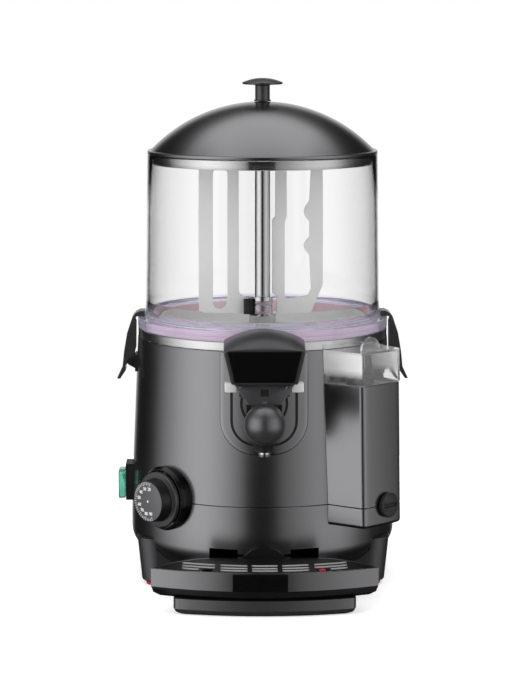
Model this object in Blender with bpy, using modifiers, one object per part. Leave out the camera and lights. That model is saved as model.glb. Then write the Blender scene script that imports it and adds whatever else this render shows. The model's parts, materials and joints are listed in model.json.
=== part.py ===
"""Hot chocolate dispenser with a stirred, water-heated bowl: the construction model.

Metres, +Z up. The front faces -Y and +X is the machine's right side as seen from the front.
Places on the machine are written as (x, d, z): d is how far a point lies before the machine's
upright axis. Turned pieces are (radius, height) profiles about their own axis.
"""

import math

import bmesh
import bpy
from mathutils import Matrix, Vector

# Driving dimensions of the whole machine.
TRAY_REACH = 0.1909
REAR_REACH = 0.130
LATCH_STANDOFF = 0.013
BODY_TOP_RADIUS = 0.118
SEAM_RADIUS = 0.1244
BELLY_RADIUS = 0.125
LATCH_REACH = BELLY_RADIUS + LATCH_STANDOFF
BODY_TOP_Z = 0.228
SEAM_Z = 0.086
BELLY_Z = 0.060
BELLY_BOTTOM_Z = 0.0155
LID_RIM_Z = 0.3994
TAP_BACK = BELLY_RADIUS - 0.0015
TAP_SLEEVE_LENGTH = 0.0175
TAP_D = TAP_BACK + TAP_SLEEVE_LENGTH
BOWL_TOP_RADIUS = 0.1081
BOWL_FOOT_RADIUS = 0.1102

# Clearances and walls that several pieces share.
FIT = 0.0003
SHELL_WALL = 0.0025
OVERRUN = 0.004
MERGE = 0.00001
ROUND_STEPS = 40
SMALL_STEPS = 20
TINY_STEPS = 10
CORNER_STEPS = 4

# The tray's plate on its front is the foremost face, and the cord gland the rearmost.
LABEL_THICKNESS = 0.0008
FRONT_REACH = TRAY_REACH + FIT + LABEL_THICKNESS
AXIS_Y = (FRONT_REACH - REAR_REACH) / 2

UP = Vector((0, 0, 1))
FRONT_VIEW = Matrix(((1, 0, 0), (0, 0, -1), (0, 1, 0)))
SIDE_VIEW = Matrix(((0, 0, -1), (-1, 0, 0), (0, 1, 0)))
PLAN_VIEW = Matrix(((1, 0, 0), (0, -1, 0), (0, 0, -1)))


def at(x, d, z):
    """World place of a point x to the right of, d before and z above the machine's foot."""
    return Vector((x, AXIS_Y - d, z))


def bearing(degrees):
    """Level direction that points out of the machine, turned from the front to the right."""
    turn = math.radians(degrees)
    return Vector((math.sin(turn), -math.cos(turn), 0))


def clear_scene():
    for obj in list(bpy.data.objects):
        bpy.data.objects.remove(obj, do_unlink=True)


def new_collection(name):
    group = bpy.data.collections.new(name)
    bpy.context.scene.collection.children.link(group)
    return group


clear_scene()
PARTS = new_collection("hot_chocolate_dispenser")
CUTTERS = new_collection("cutters")


def linear(hex_colour):
    """Turn an sRGB hex colour into the linear values that a shader takes."""
    values = [int(hex_colour[i:i + 2], 16) / 255 for i in (0, 2, 4)]
    return [v / 12.92 if v <= 0.04045 else ((v + 0.055) / 1.055) ** 2.4 for v in values] + [1]


def material(name, hex_colour, roughness, metallic=0.0, alpha=1.0):
    finish = bpy.data.materials.new(name)
    finish.use_nodes = True
    shader = finish.node_tree.nodes["Principled BSDF"]
    shader.inputs["Base Color"].default_value = linear(hex_colour)
    shader.inputs["Roughness"].default_value = roughness
    shader.inputs["Metallic"].default_value = metallic
    shader.inputs["Alpha"].default_value = alpha
    return finish


FINISH = {
    "body": material("graphite_body", "4b4b4d", 0.35, 0.3),
    "trim": material("charcoal_trim", "3a3a3b", 0.45),
    "gloss": material("black_gloss", "141414", 0.1),
    "steel": material("stainless_steel", "c8cacc", 0.2, 1.0),
    "clear": material("clear_polycarbonate", "dfe4f2", 0.05, 0.0, 0.35),
    "paddle": material("milky_plastic", "b9bcbd", 0.4),
    "gasket": material("pink_silicone", "d8627c", 0.5),
    "rubber": material("red_rubber", "b3283c", 0.7),
    "switch": material("green_switch", "3fae93", 0.3),
    "motor": material("motor_casting", "8b8d90", 0.5, 0.8),
    "white": material("white_plastic", "dedede", 0.5),
    "black": material("black_plastic", "1b1b1c", 0.5),
}


def finished(obj, finish):
    obj.data.materials.clear()
    obj.data.materials.append(FINISH[finish])
    return obj


def as_cutter(obj):
    """Move a shape that only cuts or joins into the cutters' collection."""
    for group in list(obj.users_collection):
        group.objects.unlink(obj)
    CUTTERS.objects.link(obj)
    obj.hide_render = True
    obj.display_type = "WIRE"
    return obj


def combine(target, tool, operation):
    modifier = target.modifiers.new(operation.title(), "BOOLEAN")
    modifier.operation = operation
    modifier.solver = "EXACT"
    modifier.object = as_cutter(tool)
    return target


def cut(target, *tools):
    for tool in tools:
        combine(target, tool, "DIFFERENCE")
    return target


def join(target, *tools):
    for tool in tools:
        combine(target, tool, "UNION")
    return target


def keep_common(target, *tools):
    for tool in tools:
        combine(target, tool, "INTERSECT")
    return target


def new_object(name, mesh):
    obj = bpy.data.objects.new(name, mesh)
    PARTS.objects.link(obj)
    return obj


def turned(name, profile, origin, axis=UP, steps=ROUND_STEPS, ring=True):
    """Turn a (radius, height) profile about an axis through origin.

    A ring's profile is a closed loop, down its outer side and up its inner one. A solid's
    profile runs from the axis at the top to the axis at the bottom."""
    count = len(profile)
    edges = [(i, i + 1) for i in range(count - 1)]
    if ring:
        edges.append((count - 1, 0))
    mesh = bpy.data.meshes.new(name)
    mesh.from_pydata([(r, 0, h) for r, h in profile], edges, [])
    obj = new_object(name, mesh)
    screw = obj.modifiers.new("Turn", "SCREW")
    screw.steps = steps
    screw.render_steps = steps
    screw.use_merge_vertices = True
    screw.merge_threshold = MERGE
    screw.use_smooth_shade = True
    obj.location = origin
    obj.rotation_euler = Vector(axis).to_track_quat("Z", "Y").to_euler()
    return obj


def rod(name, radius, start, end, steps=SMALL_STEPS):
    """Solid cylinder from one point to another."""
    start = Vector(start)
    end = Vector(end)
    mesh = bpy.data.meshes.new(name)
    build = bmesh.new()
    bmesh.ops.create_cone(build, cap_ends=True, segments=steps, radius1=radius,
                          radius2=radius, depth=(end - start).length)
    build.to_mesh(mesh)
    build.free()
    mesh.shade_smooth()
    mesh.set_sharp_from_angle(angle=math.radians(30))
    obj = new_object(name, mesh)
    obj.location = (start + end) / 2
    obj.rotation_euler = (end - start).to_track_quat("Z", "Y").to_euler()
    return obj


def block(name, x, d, z, bevel=0.0):
    """Box between the two limits given for x, for d and for z."""
    mesh = bpy.data.meshes.new(name)
    build = bmesh.new()
    bmesh.ops.create_cube(build, size=1)
    size = Vector((x[1] - x[0], d[1] - d[0], z[1] - z[0]))
    bmesh.ops.scale(build, vec=size, verts=build.verts)
    if bevel:
        bmesh.ops.bevel(build, geom=build.edges, offset=bevel, segments=2, profile=0.5,
                        affect="EDGES")
    build.to_mesh(mesh)
    build.free()
    obj = new_object(name, mesh)
    obj.location = at(sum(x) / 2, sum(d) / 2, sum(z) / 2)
    return obj


def plate(name, outlines, thickness, view, origin):
    """Flat outline with its holes, drawn in a view and thickened about origin."""
    curve = bpy.data.curves.new(name, "CURVE")
    curve.dimensions = "2D"
    curve.fill_mode = "BOTH"
    curve.extrude = thickness / 2
    for outline in outlines:
        spline = curve.splines.new("POLY")
        spline.points.add(len(outline) - 1)
        for point, (a, b) in zip(spline.points, outline):
            point.co = (a, b, 0, 1)
        spline.use_cyclic_u = True
    sketch = new_object(name + "_sketch", curve)
    sketch.matrix_world = Matrix.Translation(origin) @ view.to_4x4()
    graph = bpy.context.evaluated_depsgraph_get()
    mesh = bpy.data.meshes.new_from_object(sketch.evaluated_get(graph))
    mesh.name = name
    build = bmesh.new()
    build.from_mesh(mesh)
    bmesh.ops.remove_doubles(build, verts=build.verts, dist=MERGE)
    bmesh.ops.recalc_face_normals(build, faces=build.faces)
    build.to_mesh(mesh)
    build.free()
    obj = new_object(name, mesh)
    obj.matrix_world = Matrix.Translation(origin) @ view.to_4x4()
    bpy.data.objects.remove(sketch, do_unlink=True)
    return obj


def lofted(name, rings):
    """Skin over rings of points, one above another, closed with flat ends."""
    count = len(rings[0])
    points = [point for ring in rings for point in ring]
    faces = [list(range(count)), [i + count * (len(rings) - 1) for i in reversed(range(count))]]
    for level in range(len(rings) - 1):
        for i in range(count):
            j = (i + 1) % count
            low = level * count
            faces.append([low + j, low + i, low + count + i, low + count + j])
    mesh = bpy.data.meshes.new(name)
    mesh.from_pydata(points, [], faces)
    build = bmesh.new()
    build.from_mesh(mesh)
    bmesh.ops.recalc_face_normals(build, faces=build.faces)
    build.to_mesh(mesh)
    build.free()
    return new_object(name, mesh)


def rounded(corners, radii, steps=CORNER_STEPS):
    """Outline through corners, each rounded by an arc of its own radius."""
    outline = []
    count = len(corners)
    for i, radius in enumerate(radii):
        corner = Vector(corners[i])
        if not radius:
            outline.append(tuple(corner))
            continue
        before = (Vector(corners[i - 1]) - corner).normalized()
        after = (Vector(corners[(i + 1) % count]) - corner).normalized()
        half = before.angle(after) / 2
        reach = radius / math.tan(half)
        centre = corner + (before + after).normalized() * radius / math.sin(half)
        first = corner + before * reach - centre
        last = corner + after * reach - centre
        sweep = first.angle_signed(last)
        for step in range(steps + 1):
            turn = Matrix.Rotation(-sweep * step / steps, 2)
            outline.append(tuple(centre + turn @ first))
    return outline


def arc(centre, radius, start, end, steps):
    """Points of an arc, with angles in degrees, from start to end."""
    points = []
    for step in range(steps + 1):
        turn = math.radians(start + (end - start) * step / steps)
        points.append((centre[0] + radius * math.cos(turn),
                       centre[1] + radius * math.sin(turn)))
    return points


def pivot(name, place):
    """Empty on a joint's axis, which carries the pieces that move about it."""
    empty = bpy.data.objects.new(name, None)
    PARTS.objects.link(empty)
    empty.location = place
    return empty


def carry(empty, *pieces):
    for piece in pieces:
        piece.location = piece.location - empty.location
        piece.parent = empty


def axis_at(z):
    return at(0, 0, z)


AXIS = axis_at(0)

# Belly curve: a quarter ellipse from the widest line down to the flat underside.
FLAT_BOTTOM_RADIUS = 0.080
BELLY_CURVE_SHARES = (0.0, 0.22, 0.43, 0.63, 0.82, 1.0)
BELLY_SHOULDER_Z = 0.045


def belly_curve(offset):
    """Points (radius, height) of the belly's underside, moved outwards by offset."""
    across = BELLY_RADIUS - FLAT_BOTTOM_RADIUS + offset
    down = BELLY_SHOULDER_Z - BELLY_BOTTOM_Z + offset
    points = []
    for share in BELLY_CURVE_SHARES:
        turn = share * math.pi / 2
        points.append((FLAT_BOTTOM_RADIUS + across * math.cos(turn),
                       BELLY_SHOULDER_Z - down * math.sin(turn)))
    return points


def body_envelope(name, offset):
    """Solid that follows the outside of both shells and of the bowl's foot, plus offset."""
    side = [(0, FLANGE_TOP_Z + OVERRUN), (FLANGE_RADIUS + offset, FLANGE_TOP_Z + OVERRUN),
            (FLANGE_RADIUS + offset, BODY_TOP_Z), (BODY_TOP_RADIUS + offset, BODY_TOP_Z),
            (SEAM_RADIUS + offset, SEAM_Z), (BELLY_RADIUS + offset, BELLY_Z)]
    foot = belly_curve(offset)
    return as_cutter(turned(name, side + foot + [(0, foot[-1][1])], AXIS, ring=False))


# Side box: a tapered case on the right front of both shells, round the water tank.
BOX_BEARING = 43.5
BOX_STANDOFF = 0.0305
BOX_LEAN = 0.003
BOX_OUT_TOP = BELLY_RADIUS + BOX_STANDOFF
BOX_OUT_FOOT = BOX_OUT_TOP + BOX_LEAN
BOX_IN = 0.100
BOX_HALF_WIDTH = 0.025
BOX_FLARE_SHARE = 0.216
BOX_TOP_Z = 0.198
BOX_BOTTOM_Z = 0.067
BOX_CORNER = 0.0035


def box_ring(out, inset, z, root=BOX_IN):
    """Outline of the side box at height z, inset from its outer faces."""
    width = BOX_HALF_WIDTH - inset
    far = out - inset
    near = width + (far - root) * BOX_FLARE_SHARE
    corner = max(BOX_CORNER - inset, BOX_CORNER / 4)
    outline = rounded([(root, near), (far, width), (far, -width), (root, -near)],
                      [0, corner, corner, 0])
    return [box_point(n, t, z) for n, t in outline]


def box_point(n, t, z):
    """World place n out along the side box's bearing and t across it, to the right."""
    out = bearing(BOX_BEARING)
    across = bearing(BOX_BEARING + 90)
    return axis_at(z) + out * n + across * t


def box_out(z):
    """How far out the side box's outer face lies at height z."""
    share = (z - BOX_BOTTOM_Z) / (BOX_TOP_Z - BOX_BOTTOM_Z)
    return BOX_OUT_FOOT + (BOX_OUT_TOP - BOX_OUT_FOOT) * share


def box_solid(name, inset, low, high, root=BOX_IN):
    return lofted(name, [box_ring(box_out(low), inset, low, root),
                         box_ring(box_out(high), inset, high, root)])


# Bowl and the steel pot under it.
FLANGE_RADIUS = 0.118
FLANGE_TOP_Z = 0.246
RING_RADIUS = 0.1175
RING_HEIGHT = 0.0077
RING_TOP_Z = BODY_TOP_Z + FIT + RING_HEIGHT
GASKET_INNER_RADIUS = 0.105
GASKET_OUTER_RADIUS = 0.1096
GASKET_HEIGHT = 0.010
BOWL_WALL = 0.0026
BOWL_STEP_RADIUS = 0.111
BOWL_STEP_TOP_Z = 0.2555
BOWL_LIP_INNER_RADIUS = 0.1046
POT_RADIUS = 0.105
POT_WALL = 0.0012
POT_BOTTOM_Z = 0.152
POT_CORNER = 0.008
SLEEVE_RADIUS = 0.0082
SLEEVE_BORE = 0.007
SLEEVE_TOP_Z = 0.240
SLEEVE_BOTTOM_Z = 0.130
OUTLET_Z = 0.170
OUTLET_RADIUS = 0.010
OUTLET_BORE = 0.008
OUTLET_REACH = TAP_D - 0.0103
JACKET_RADIUS = 0.1115
JACKET_WALL = 0.0008
JACKET_BOTTOM_Z = 0.134


def steel_pot():
    """Deep-drawn pot with its bright ring, the shaft's sleeve and the outlet pipe."""
    inner = POT_RADIUS - POT_WALL
    floor = POT_BOTTOM_Z + POT_WALL
    ring_foot = BODY_TOP_Z + FIT
    profile = [(RING_RADIUS, RING_TOP_Z), (RING_RADIUS, ring_foot), (POT_RADIUS, ring_foot),
               (POT_RADIUS, POT_BOTTOM_Z + POT_CORNER)]
    profile += [(POT_RADIUS - POT_CORNER, POT_BOTTOM_Z), (SLEEVE_RADIUS, POT_BOTTOM_Z),
                (SLEEVE_RADIUS, SLEEVE_BOTTOM_Z), (SLEEVE_BORE, SLEEVE_BOTTOM_Z),
                (SLEEVE_BORE, SLEEVE_TOP_Z), (SLEEVE_RADIUS, SLEEVE_TOP_Z),
                (SLEEVE_RADIUS, floor), (inner - POT_CORNER, floor),
                (inner, floor + POT_CORNER), (inner, RING_TOP_Z)]
    pot = turned("steel_pot", profile, AXIS)
    join(pot, rod("pot_outlet", OUTLET_RADIUS, at(0, inner + POT_WALL / 4, OUTLET_Z),
                  at(0, OUTLET_REACH, OUTLET_Z)))
    cut(pot, rod("pot_outlet_bore", OUTLET_BORE, at(0, POT_RADIUS - POT_CORNER, OUTLET_Z),
                 at(0, OUTLET_REACH + OVERRUN, OUTLET_Z)))
    return finished(pot, "steel")


HEATER_RING = 0.070
HEATER_TUBE = 0.0035
HEATER_Z = 0.143
HEATER_LEG_Z = 0.126
HEATER_LEG_ANGLE = 7
HEATER_POINTS = 32


def heater_leg(side):
    turn = math.radians(side * HEATER_LEG_ANGLE)
    return HEATER_RING * math.sin(turn), -HEATER_RING * math.cos(turn)


def water_jacket():
    """Thin pan that holds the water round the pot, with holes for what passes through."""
    inner = JACKET_RADIUS - JACKET_WALL
    top = BODY_TOP_Z
    floor = JACKET_BOTTOM_Z + JACKET_WALL
    hole = SLEEVE_RADIUS + FIT
    profile = [(JACKET_RADIUS, top), (JACKET_RADIUS, JACKET_BOTTOM_Z),
               (hole, JACKET_BOTTOM_Z), (hole, floor), (inner, floor), (inner, top)]
    jacket = turned("water_jacket", profile, AXIS)
    cut(jacket, rod("jacket_outlet_hole", OUTLET_RADIUS + FIT,
                    at(0, POT_RADIUS, OUTLET_Z), at(0, JACKET_RADIUS + OVERRUN, OUTLET_Z)))
    for side in (-1, 1):
        x, d = heater_leg(side)
        cut(jacket, rod("jacket_heater_hole", HEATER_TUBE + FIT,
                        at(x, d, JACKET_BOTTOM_Z - OVERRUN), at(x, d, floor + OVERRUN / 2),
                        TINY_STEPS))
    return finished(jacket, "steel")


def heater_coil():
    """Tubular heater: one loop under the pot, with two legs down through the jacket."""
    route = [heater_leg(-1) + (HEATER_LEG_Z,)]
    sweep = 360 - 2 * HEATER_LEG_ANGLE
    for i in range(HEATER_POINTS + 1):
        turn = math.radians(-HEATER_LEG_ANGLE - sweep * i / HEATER_POINTS)
        route.append((HEATER_RING * math.sin(turn), -HEATER_RING * math.cos(turn), HEATER_Z))
    route.append(heater_leg(1) + (HEATER_LEG_Z,))
    curve = bpy.data.curves.new("heater_coil", "CURVE")
    curve.dimensions = "3D"
    curve.bevel_depth = HEATER_TUBE
    curve.bevel_resolution = 2
    curve.use_fill_caps = True
    spline = curve.splines.new("POLY")
    spline.points.add(len(route) - 1)
    for point, (x, d, z) in zip(spline.points, route):
        point.co = (*at(x, d, z), 1)
    return finished(new_object("heater_coil", curve), "steel")


def bowl_gasket():
    top = RING_TOP_Z + FIT + GASKET_HEIGHT
    foot = RING_TOP_Z + FIT
    profile = [(GASKET_OUTER_RADIUS, top), (GASKET_OUTER_RADIUS, foot),
               (GASKET_INNER_RADIUS, foot), (GASKET_INNER_RADIUS, top)]
    return finished(turned("bowl_gasket", profile, AXIS), "gasket")


BOWL_TAPER_Z = 0.350
BOWL_TAPER_RADIUS = 0.1089
BOWL_LIP = 0.0035
BOWL_FILLET_Z = 0.262


def bowl():
    """Clear bowl wall on its stepped foot, which sits over the gasket."""
    top = LID_RIM_Z - FIT
    skirt = GASKET_OUTER_RADIUS + FIT
    foot = RING_TOP_Z + 2 * FIT
    seat = RING_TOP_Z + 2 * FIT + GASKET_HEIGHT
    profile = [(BOWL_TOP_RADIUS, top), (BOWL_TAPER_RADIUS, BOWL_TAPER_Z),
               (BOWL_FOOT_RADIUS, BOWL_FILLET_Z), (BOWL_STEP_RADIUS, BOWL_STEP_TOP_Z),
               (BOWL_STEP_RADIUS, FLANGE_TOP_Z), (FLANGE_RADIUS, FLANGE_TOP_Z),
               (FLANGE_RADIUS, foot), (skirt, foot), (skirt, seat),
               (BOWL_LIP_INNER_RADIUS, seat), (BOWL_LIP_INNER_RADIUS, seat + BOWL_LIP),
               (BOWL_FOOT_RADIUS - BOWL_WALL, BOWL_STEP_TOP_Z - BOWL_WALL),
               (BOWL_FOOT_RADIUS - BOWL_WALL, BOWL_FILLET_Z),
               (BOWL_TAPER_RADIUS - BOWL_WALL, BOWL_TAPER_Z),
               (BOWL_TOP_RADIUS - BOWL_WALL, top)]
    return finished(turned("bowl", profile, AXIS), "clear")


# Dome lid.
LID_RIM_RADIUS = 0.1082
LID_RIM_HEIGHT = 0.0034
LID_DOME_RADIUS = 0.105
LID_RISE = 0.0486
LID_APEX_Z = LID_RIM_Z + LID_RISE
LID_WALL = 0.0017
LID_HOLE = 0.003
LID_STEPS = 6
LID_SKIRT_HEIGHT = 0.009
LID_SKIRT_WALL = 0.0015
KNOB_RISE = 0.022
TOTAL_HEIGHT = LID_APEX_Z + KNOB_RISE
KNOB_RADIUS = 0.019
KNOB_EDGE = 0.0022
KNOB_DOME = 0.0042
KNOB_STEM_RADIUS = 0.0069
KNOB_COLLAR_RADIUS = 0.0079
KNOB_COLLAR = 0.0014
KNOB_NECK = 0.0045
KNOB_STUD_RADIUS = 0.0027
KNOB_STUD_LENGTH = 0.007


def cap_profile(apex, edge_radius, edge_z, start_radius, steps):
    """Points of a spherical cap from start_radius down to its edge."""
    rise = apex - edge_z
    sphere = (edge_radius ** 2 + rise ** 2) / (2 * rise)
    points = []
    for step in range(steps + 1):
        radius = start_radius + (edge_radius - start_radius) * step / steps
        points.append((radius, apex - sphere + math.sqrt(sphere ** 2 - radius ** 2)))
    return points


def lid_dome():
    rim_top = LID_RIM_Z + LID_RIM_HEIGHT
    outer = cap_profile(LID_APEX_Z, LID_DOME_RADIUS, rim_top, LID_HOLE, LID_STEPS)
    inner = cap_profile(LID_APEX_Z - LID_WALL, LID_DOME_RADIUS - LID_WALL, rim_top - LID_WALL,
                        LID_HOLE, LID_STEPS)
    inner_edge = BOWL_TOP_RADIUS - BOWL_WALL - LID_SKIRT_WALL - 3 * FIT
    profile = outer + [(LID_RIM_RADIUS, rim_top - LID_WALL / 2), (LID_RIM_RADIUS, LID_RIM_Z),
                       (inner_edge, LID_RIM_Z), (inner_edge, rim_top - LID_WALL)]
    profile += [point for point in reversed(inner) if point[0] < inner_edge]
    return finished(turned("lid_dome", profile, AXIS), "trim")


def lid_band():
    outer = BOWL_TOP_RADIUS - BOWL_WALL - 2 * FIT
    top = LID_RIM_Z - FIT
    inner = outer - LID_SKIRT_WALL
    profile = [(outer, top), (outer, top - LID_SKIRT_HEIGHT), (inner, top - LID_SKIRT_HEIGHT),
               (inner, top)]
    return finished(turned("lid_band", profile, AXIS), "steel")


def lid_knob():
    foot = LID_APEX_Z + FIT
    edge = TOTAL_HEIGHT - KNOB_DOME
    profile = cap_profile(TOTAL_HEIGHT, KNOB_RADIUS, edge, 0, CORNER_STEPS)
    profile += [(KNOB_RADIUS, edge - KNOB_EDGE),
                (KNOB_STEM_RADIUS + KNOB_EDGE, edge - KNOB_NECK),
                (KNOB_STEM_RADIUS, edge - KNOB_NECK - KNOB_EDGE),
                (KNOB_STEM_RADIUS, foot + KNOB_COLLAR), (KNOB_COLLAR_RADIUS, foot + KNOB_COLLAR),
                (KNOB_COLLAR_RADIUS, foot), (KNOB_STUD_RADIUS, foot),
                (KNOB_STUD_RADIUS, foot - KNOB_STUD_LENGTH), (0, foot - KNOB_STUD_LENGTH)]
    return finished(turned("lid_knob", profile, AXIS, steps=SMALL_STEPS, ring=False), "trim")


# Mixer: shaft, hub, tall tube, two paddles and the pot's scraper.
SHAFT_RADIUS = 0.005
SHAFT_BOTTOM_Z = 0.106
SHAFT_TOP_Z = 0.252
HUB_RADIUS = 0.013
HUB_BOTTOM_Z = 0.232
HUB_TOP_Z = 0.258
HUB_COLLAR_RADIUS = 0.0095
HUB_COLLAR_TOP_Z = 0.264
TUBE_RADIUS = 0.0072
TUBE_SEAT_Z = 0.256
TUBE_TOP_Z = 0.388
PADDLE_THICKNESS = 0.004
PADDLE_TOP_Z = 0.386
PADDLE_BOTTOM_Z = 0.241
PADDLE_REACH = 0.0605
PADDLE_BLADE = 0.0135
PADDLE_INNER = 0.0225
SCRAPER_REACH = 0.0985
SCRAPER_BLADE = 0.008
SCRAPER_FOOT_GAP = 0.0018
SCRAPER_RING_RADIUS = 0.0125
SCRAPER_RING_HEIGHT = 0.0092


def drive_shaft():
    shaft = rod("drive_shaft", SHAFT_RADIUS, axis_at(SHAFT_BOTTOM_Z), axis_at(SHAFT_TOP_Z))
    return finished(shaft, "steel")


def stirrer_hub():
    bore = SLEEVE_RADIUS + FIT
    profile = [(0, TUBE_SEAT_Z), (TUBE_RADIUS + FIT, TUBE_SEAT_Z),
               (TUBE_RADIUS + FIT, HUB_COLLAR_TOP_Z), (HUB_COLLAR_RADIUS, HUB_COLLAR_TOP_Z),
               (HUB_COLLAR_RADIUS, HUB_TOP_Z), (HUB_RADIUS, HUB_TOP_Z),
               (HUB_RADIUS, HUB_BOTTOM_Z), (bore, HUB_BOTTOM_Z), (bore, SLEEVE_TOP_Z + FIT),
               (SHAFT_RADIUS + FIT, SLEEVE_TOP_Z + FIT), (SHAFT_RADIUS + FIT, SHAFT_TOP_Z + FIT),
               (0, SHAFT_TOP_Z + FIT)]
    hub = turned("stirrer_hub", profile, AXIS, steps=SMALL_STEPS, ring=False)
    return finished(hub, "black")


def stirrer_column():
    tube = rod("stirrer_column", TUBE_RADIUS, axis_at(TUBE_SEAT_Z + FIT), axis_at(TUBE_TOP_Z))
    return finished(tube, "steel")


PADDLE_NECK_Z = 0.262
PADDLE_SLOT_FOOT_Z = 0.2515
PADDLE_SLOT_TOP = 0.0045
PADDLE_SHOULDER_Z = 0.340
PADDLE_SHOULDER = 0.0028
PADDLE_SIDE_GAP = 0.002
PADDLE_BUMP = 0.007
PADDLE_BUMP_HALF = 0.0115
PADDLE_BUMP_Z = (0.3122, 0.3439)
PADDLE_BUMP_STEPS = 8
PADDLE_WINDOW_FOOT_Z = 0.2612
PADDLE_WINDOW_RISE = 0.0034
PADDLE_HEEL_Z = 0.2655
PADDLE_LEFT_HEEL = 0.056
PADDLE_LEFT_HEEL_Z = 0.250
PADDLE_RIGHT_HEEL = 0.0433
PADDLE_RIGHT_HEEL_Z = 0.2755
PADDLE_RIGHT_EASE = 0.0034


def slot_outline(left, right, low, high):
    """Upright slot with round ends."""
    radius = (right - left) / 2
    centre = (left + right) / 2
    foot = arc((centre, low + radius), radius, 180, 360, CORNER_STEPS)
    head = arc((centre, high - radius), radius, 0, 180, CORNER_STEPS)
    return foot + head


def paddle_left():
    near = -HUB_RADIUS - FIT
    outline = rounded([(near, PADDLE_BOTTOM_Z), (near, PADDLE_NECK_Z),
                       (-PADDLE_INNER, PADDLE_HEEL_Z), (-PADDLE_INNER, PADDLE_TOP_Z),
                       (-PADDLE_REACH, PADDLE_TOP_Z), (-PADDLE_REACH, PADDLE_LEFT_HEEL_Z),
                       (-PADDLE_LEFT_HEEL, PADDLE_BOTTOM_Z)],
                      [0, 0, PADDLE_BLADE / 2, PADDLE_BLADE / 4, PADDLE_BLADE / 4, 0, 0])
    slot = slot_outline(-PADDLE_REACH + PADDLE_BLADE, -PADDLE_INNER - PADDLE_BLADE * 0.8,
                        PADDLE_SLOT_FOOT_Z, PADDLE_TOP_Z - PADDLE_SLOT_TOP)
    paddle = plate("paddle_left", [outline, slot], PADDLE_THICKNESS, FRONT_VIEW, AXIS)
    return finished(paddle, "paddle")


def wave(x, middle, half, depth):
    """Points up the window's side where a smooth bump stands in from it."""
    points = []
    for i in range(1, PADDLE_BUMP_STEPS):
        share = 2 * i / PADDLE_BUMP_STEPS - 1
        points.append((x - depth * (0.5 + 0.5 * math.cos(math.pi * share)) ** 0.7,
                       middle + half * share))
    return points


def paddle_right():
    """Paddle whose window has two smooth bumps on its outer side."""
    near = HUB_RADIUS + FIT
    low_near = TUBE_RADIUS + PADDLE_SIDE_GAP
    high_near = low_near + PADDLE_SHOULDER
    reach = PADDLE_REACH - PADDLE_RIGHT_EASE
    outline = rounded([(PADDLE_RIGHT_HEEL, PADDLE_BOTTOM_Z), (reach, PADDLE_RIGHT_HEEL_Z),
                       (reach, PADDLE_TOP_Z), (high_near, PADDLE_TOP_Z),
                       (high_near, PADDLE_SHOULDER_Z),
                       (low_near, PADDLE_SHOULDER_Z - PADDLE_SHOULDER),
                       (low_near, HUB_COLLAR_TOP_Z + PADDLE_SHOULDER),
                       (near, HUB_COLLAR_TOP_Z), (near, PADDLE_BOTTOM_Z)],
                      [0, PADDLE_BLADE / 2, PADDLE_BLADE / 4, PADDLE_BLADE / 4, 0, 0, 0, 0, 0])
    left = low_near + PADDLE_BLADE * 0.87
    right = reach - PADDLE_BLADE * 0.83
    high = PADDLE_TOP_Z - PADDLE_SLOT_TOP
    foot = PADDLE_WINDOW_FOOT_Z
    rise = PADDLE_WINDOW_RISE
    window = rounded([(left + PADDLE_SIDE_GAP, high), (left + PADDLE_SIDE_GAP, PADDLE_SHOULDER_Z),
                      (left, PADDLE_SHOULDER_Z - 2 * PADDLE_SHOULDER), (left, foot),
                      (right - rise, foot + rise), (right, foot + 3 * rise)],
                     [0, 0, 0, rise, rise, 0])
    for bump_z in PADDLE_BUMP_Z:
        window += wave(right, bump_z, PADDLE_BUMP_HALF, PADDLE_BUMP)
    window.append((right, high))
    paddle = plate("paddle_right", [outline, window], PADDLE_THICKNESS, FRONT_VIEW, AXIS)
    return finished(paddle, "paddle")


def pot_scraper():
    """Anchor that turns in the pot: a ring on the sleeve and two C-shaped arms."""
    top = HUB_BOTTOM_Z - FIT
    low = top - SCRAPER_RING_HEIGHT
    foot = POT_BOTTOM_Z + POT_WALL + SCRAPER_FOOT_GAP
    hole = SLEEVE_RADIUS + FIT
    scraper = turned("pot_scraper", [(SCRAPER_RING_RADIUS, top), (SCRAPER_RING_RADIUS, low),
                                     (hole, low), (hole, top)], AXIS, steps=SMALL_STEPS)
    root = (hole + SCRAPER_RING_RADIUS) / 2
    reach = SCRAPER_REACH
    inner = reach - SCRAPER_BLADE
    bend = SCRAPER_BLADE
    for side in (-1, 1):
        outline = [(root, top - FIT), (reach, top - FIT), (reach, foot + 2 * bend),
                   (reach - bend, foot), (2 * root, foot), (2 * root, foot + bend),
                   (inner - bend / 2, foot + bend), (inner, foot + 2 * bend),
                   (inner, low + FIT), (root, low + FIT)]
        arm = plate("scraper_arm", [[(side * x, z) for x, z in outline]], PADDLE_THICKNESS,
                    FRONT_VIEW, AXIS)
        join(scraper, arm)
    return finished(scraper, "paddle")


# Gear motor and its bracket.
BRACKET_Z = 0.124
BRACKET_SHEET = 0.0025
BRACKET_HALF_SPAN = 0.058
BRACKET_FOOT = 0.012
BRACKET_DEPTH = 0.050
GEARBOX_HALF_WIDTH = 0.034
GEARBOX_HALF_DEPTH = 0.030
GEARBOX_HEIGHT = 0.028
GEARBOX_BEVEL = 0.003
MOTOR_RADIUS = 0.026
MOTOR_BOTTOM_Z = 0.048


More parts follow.
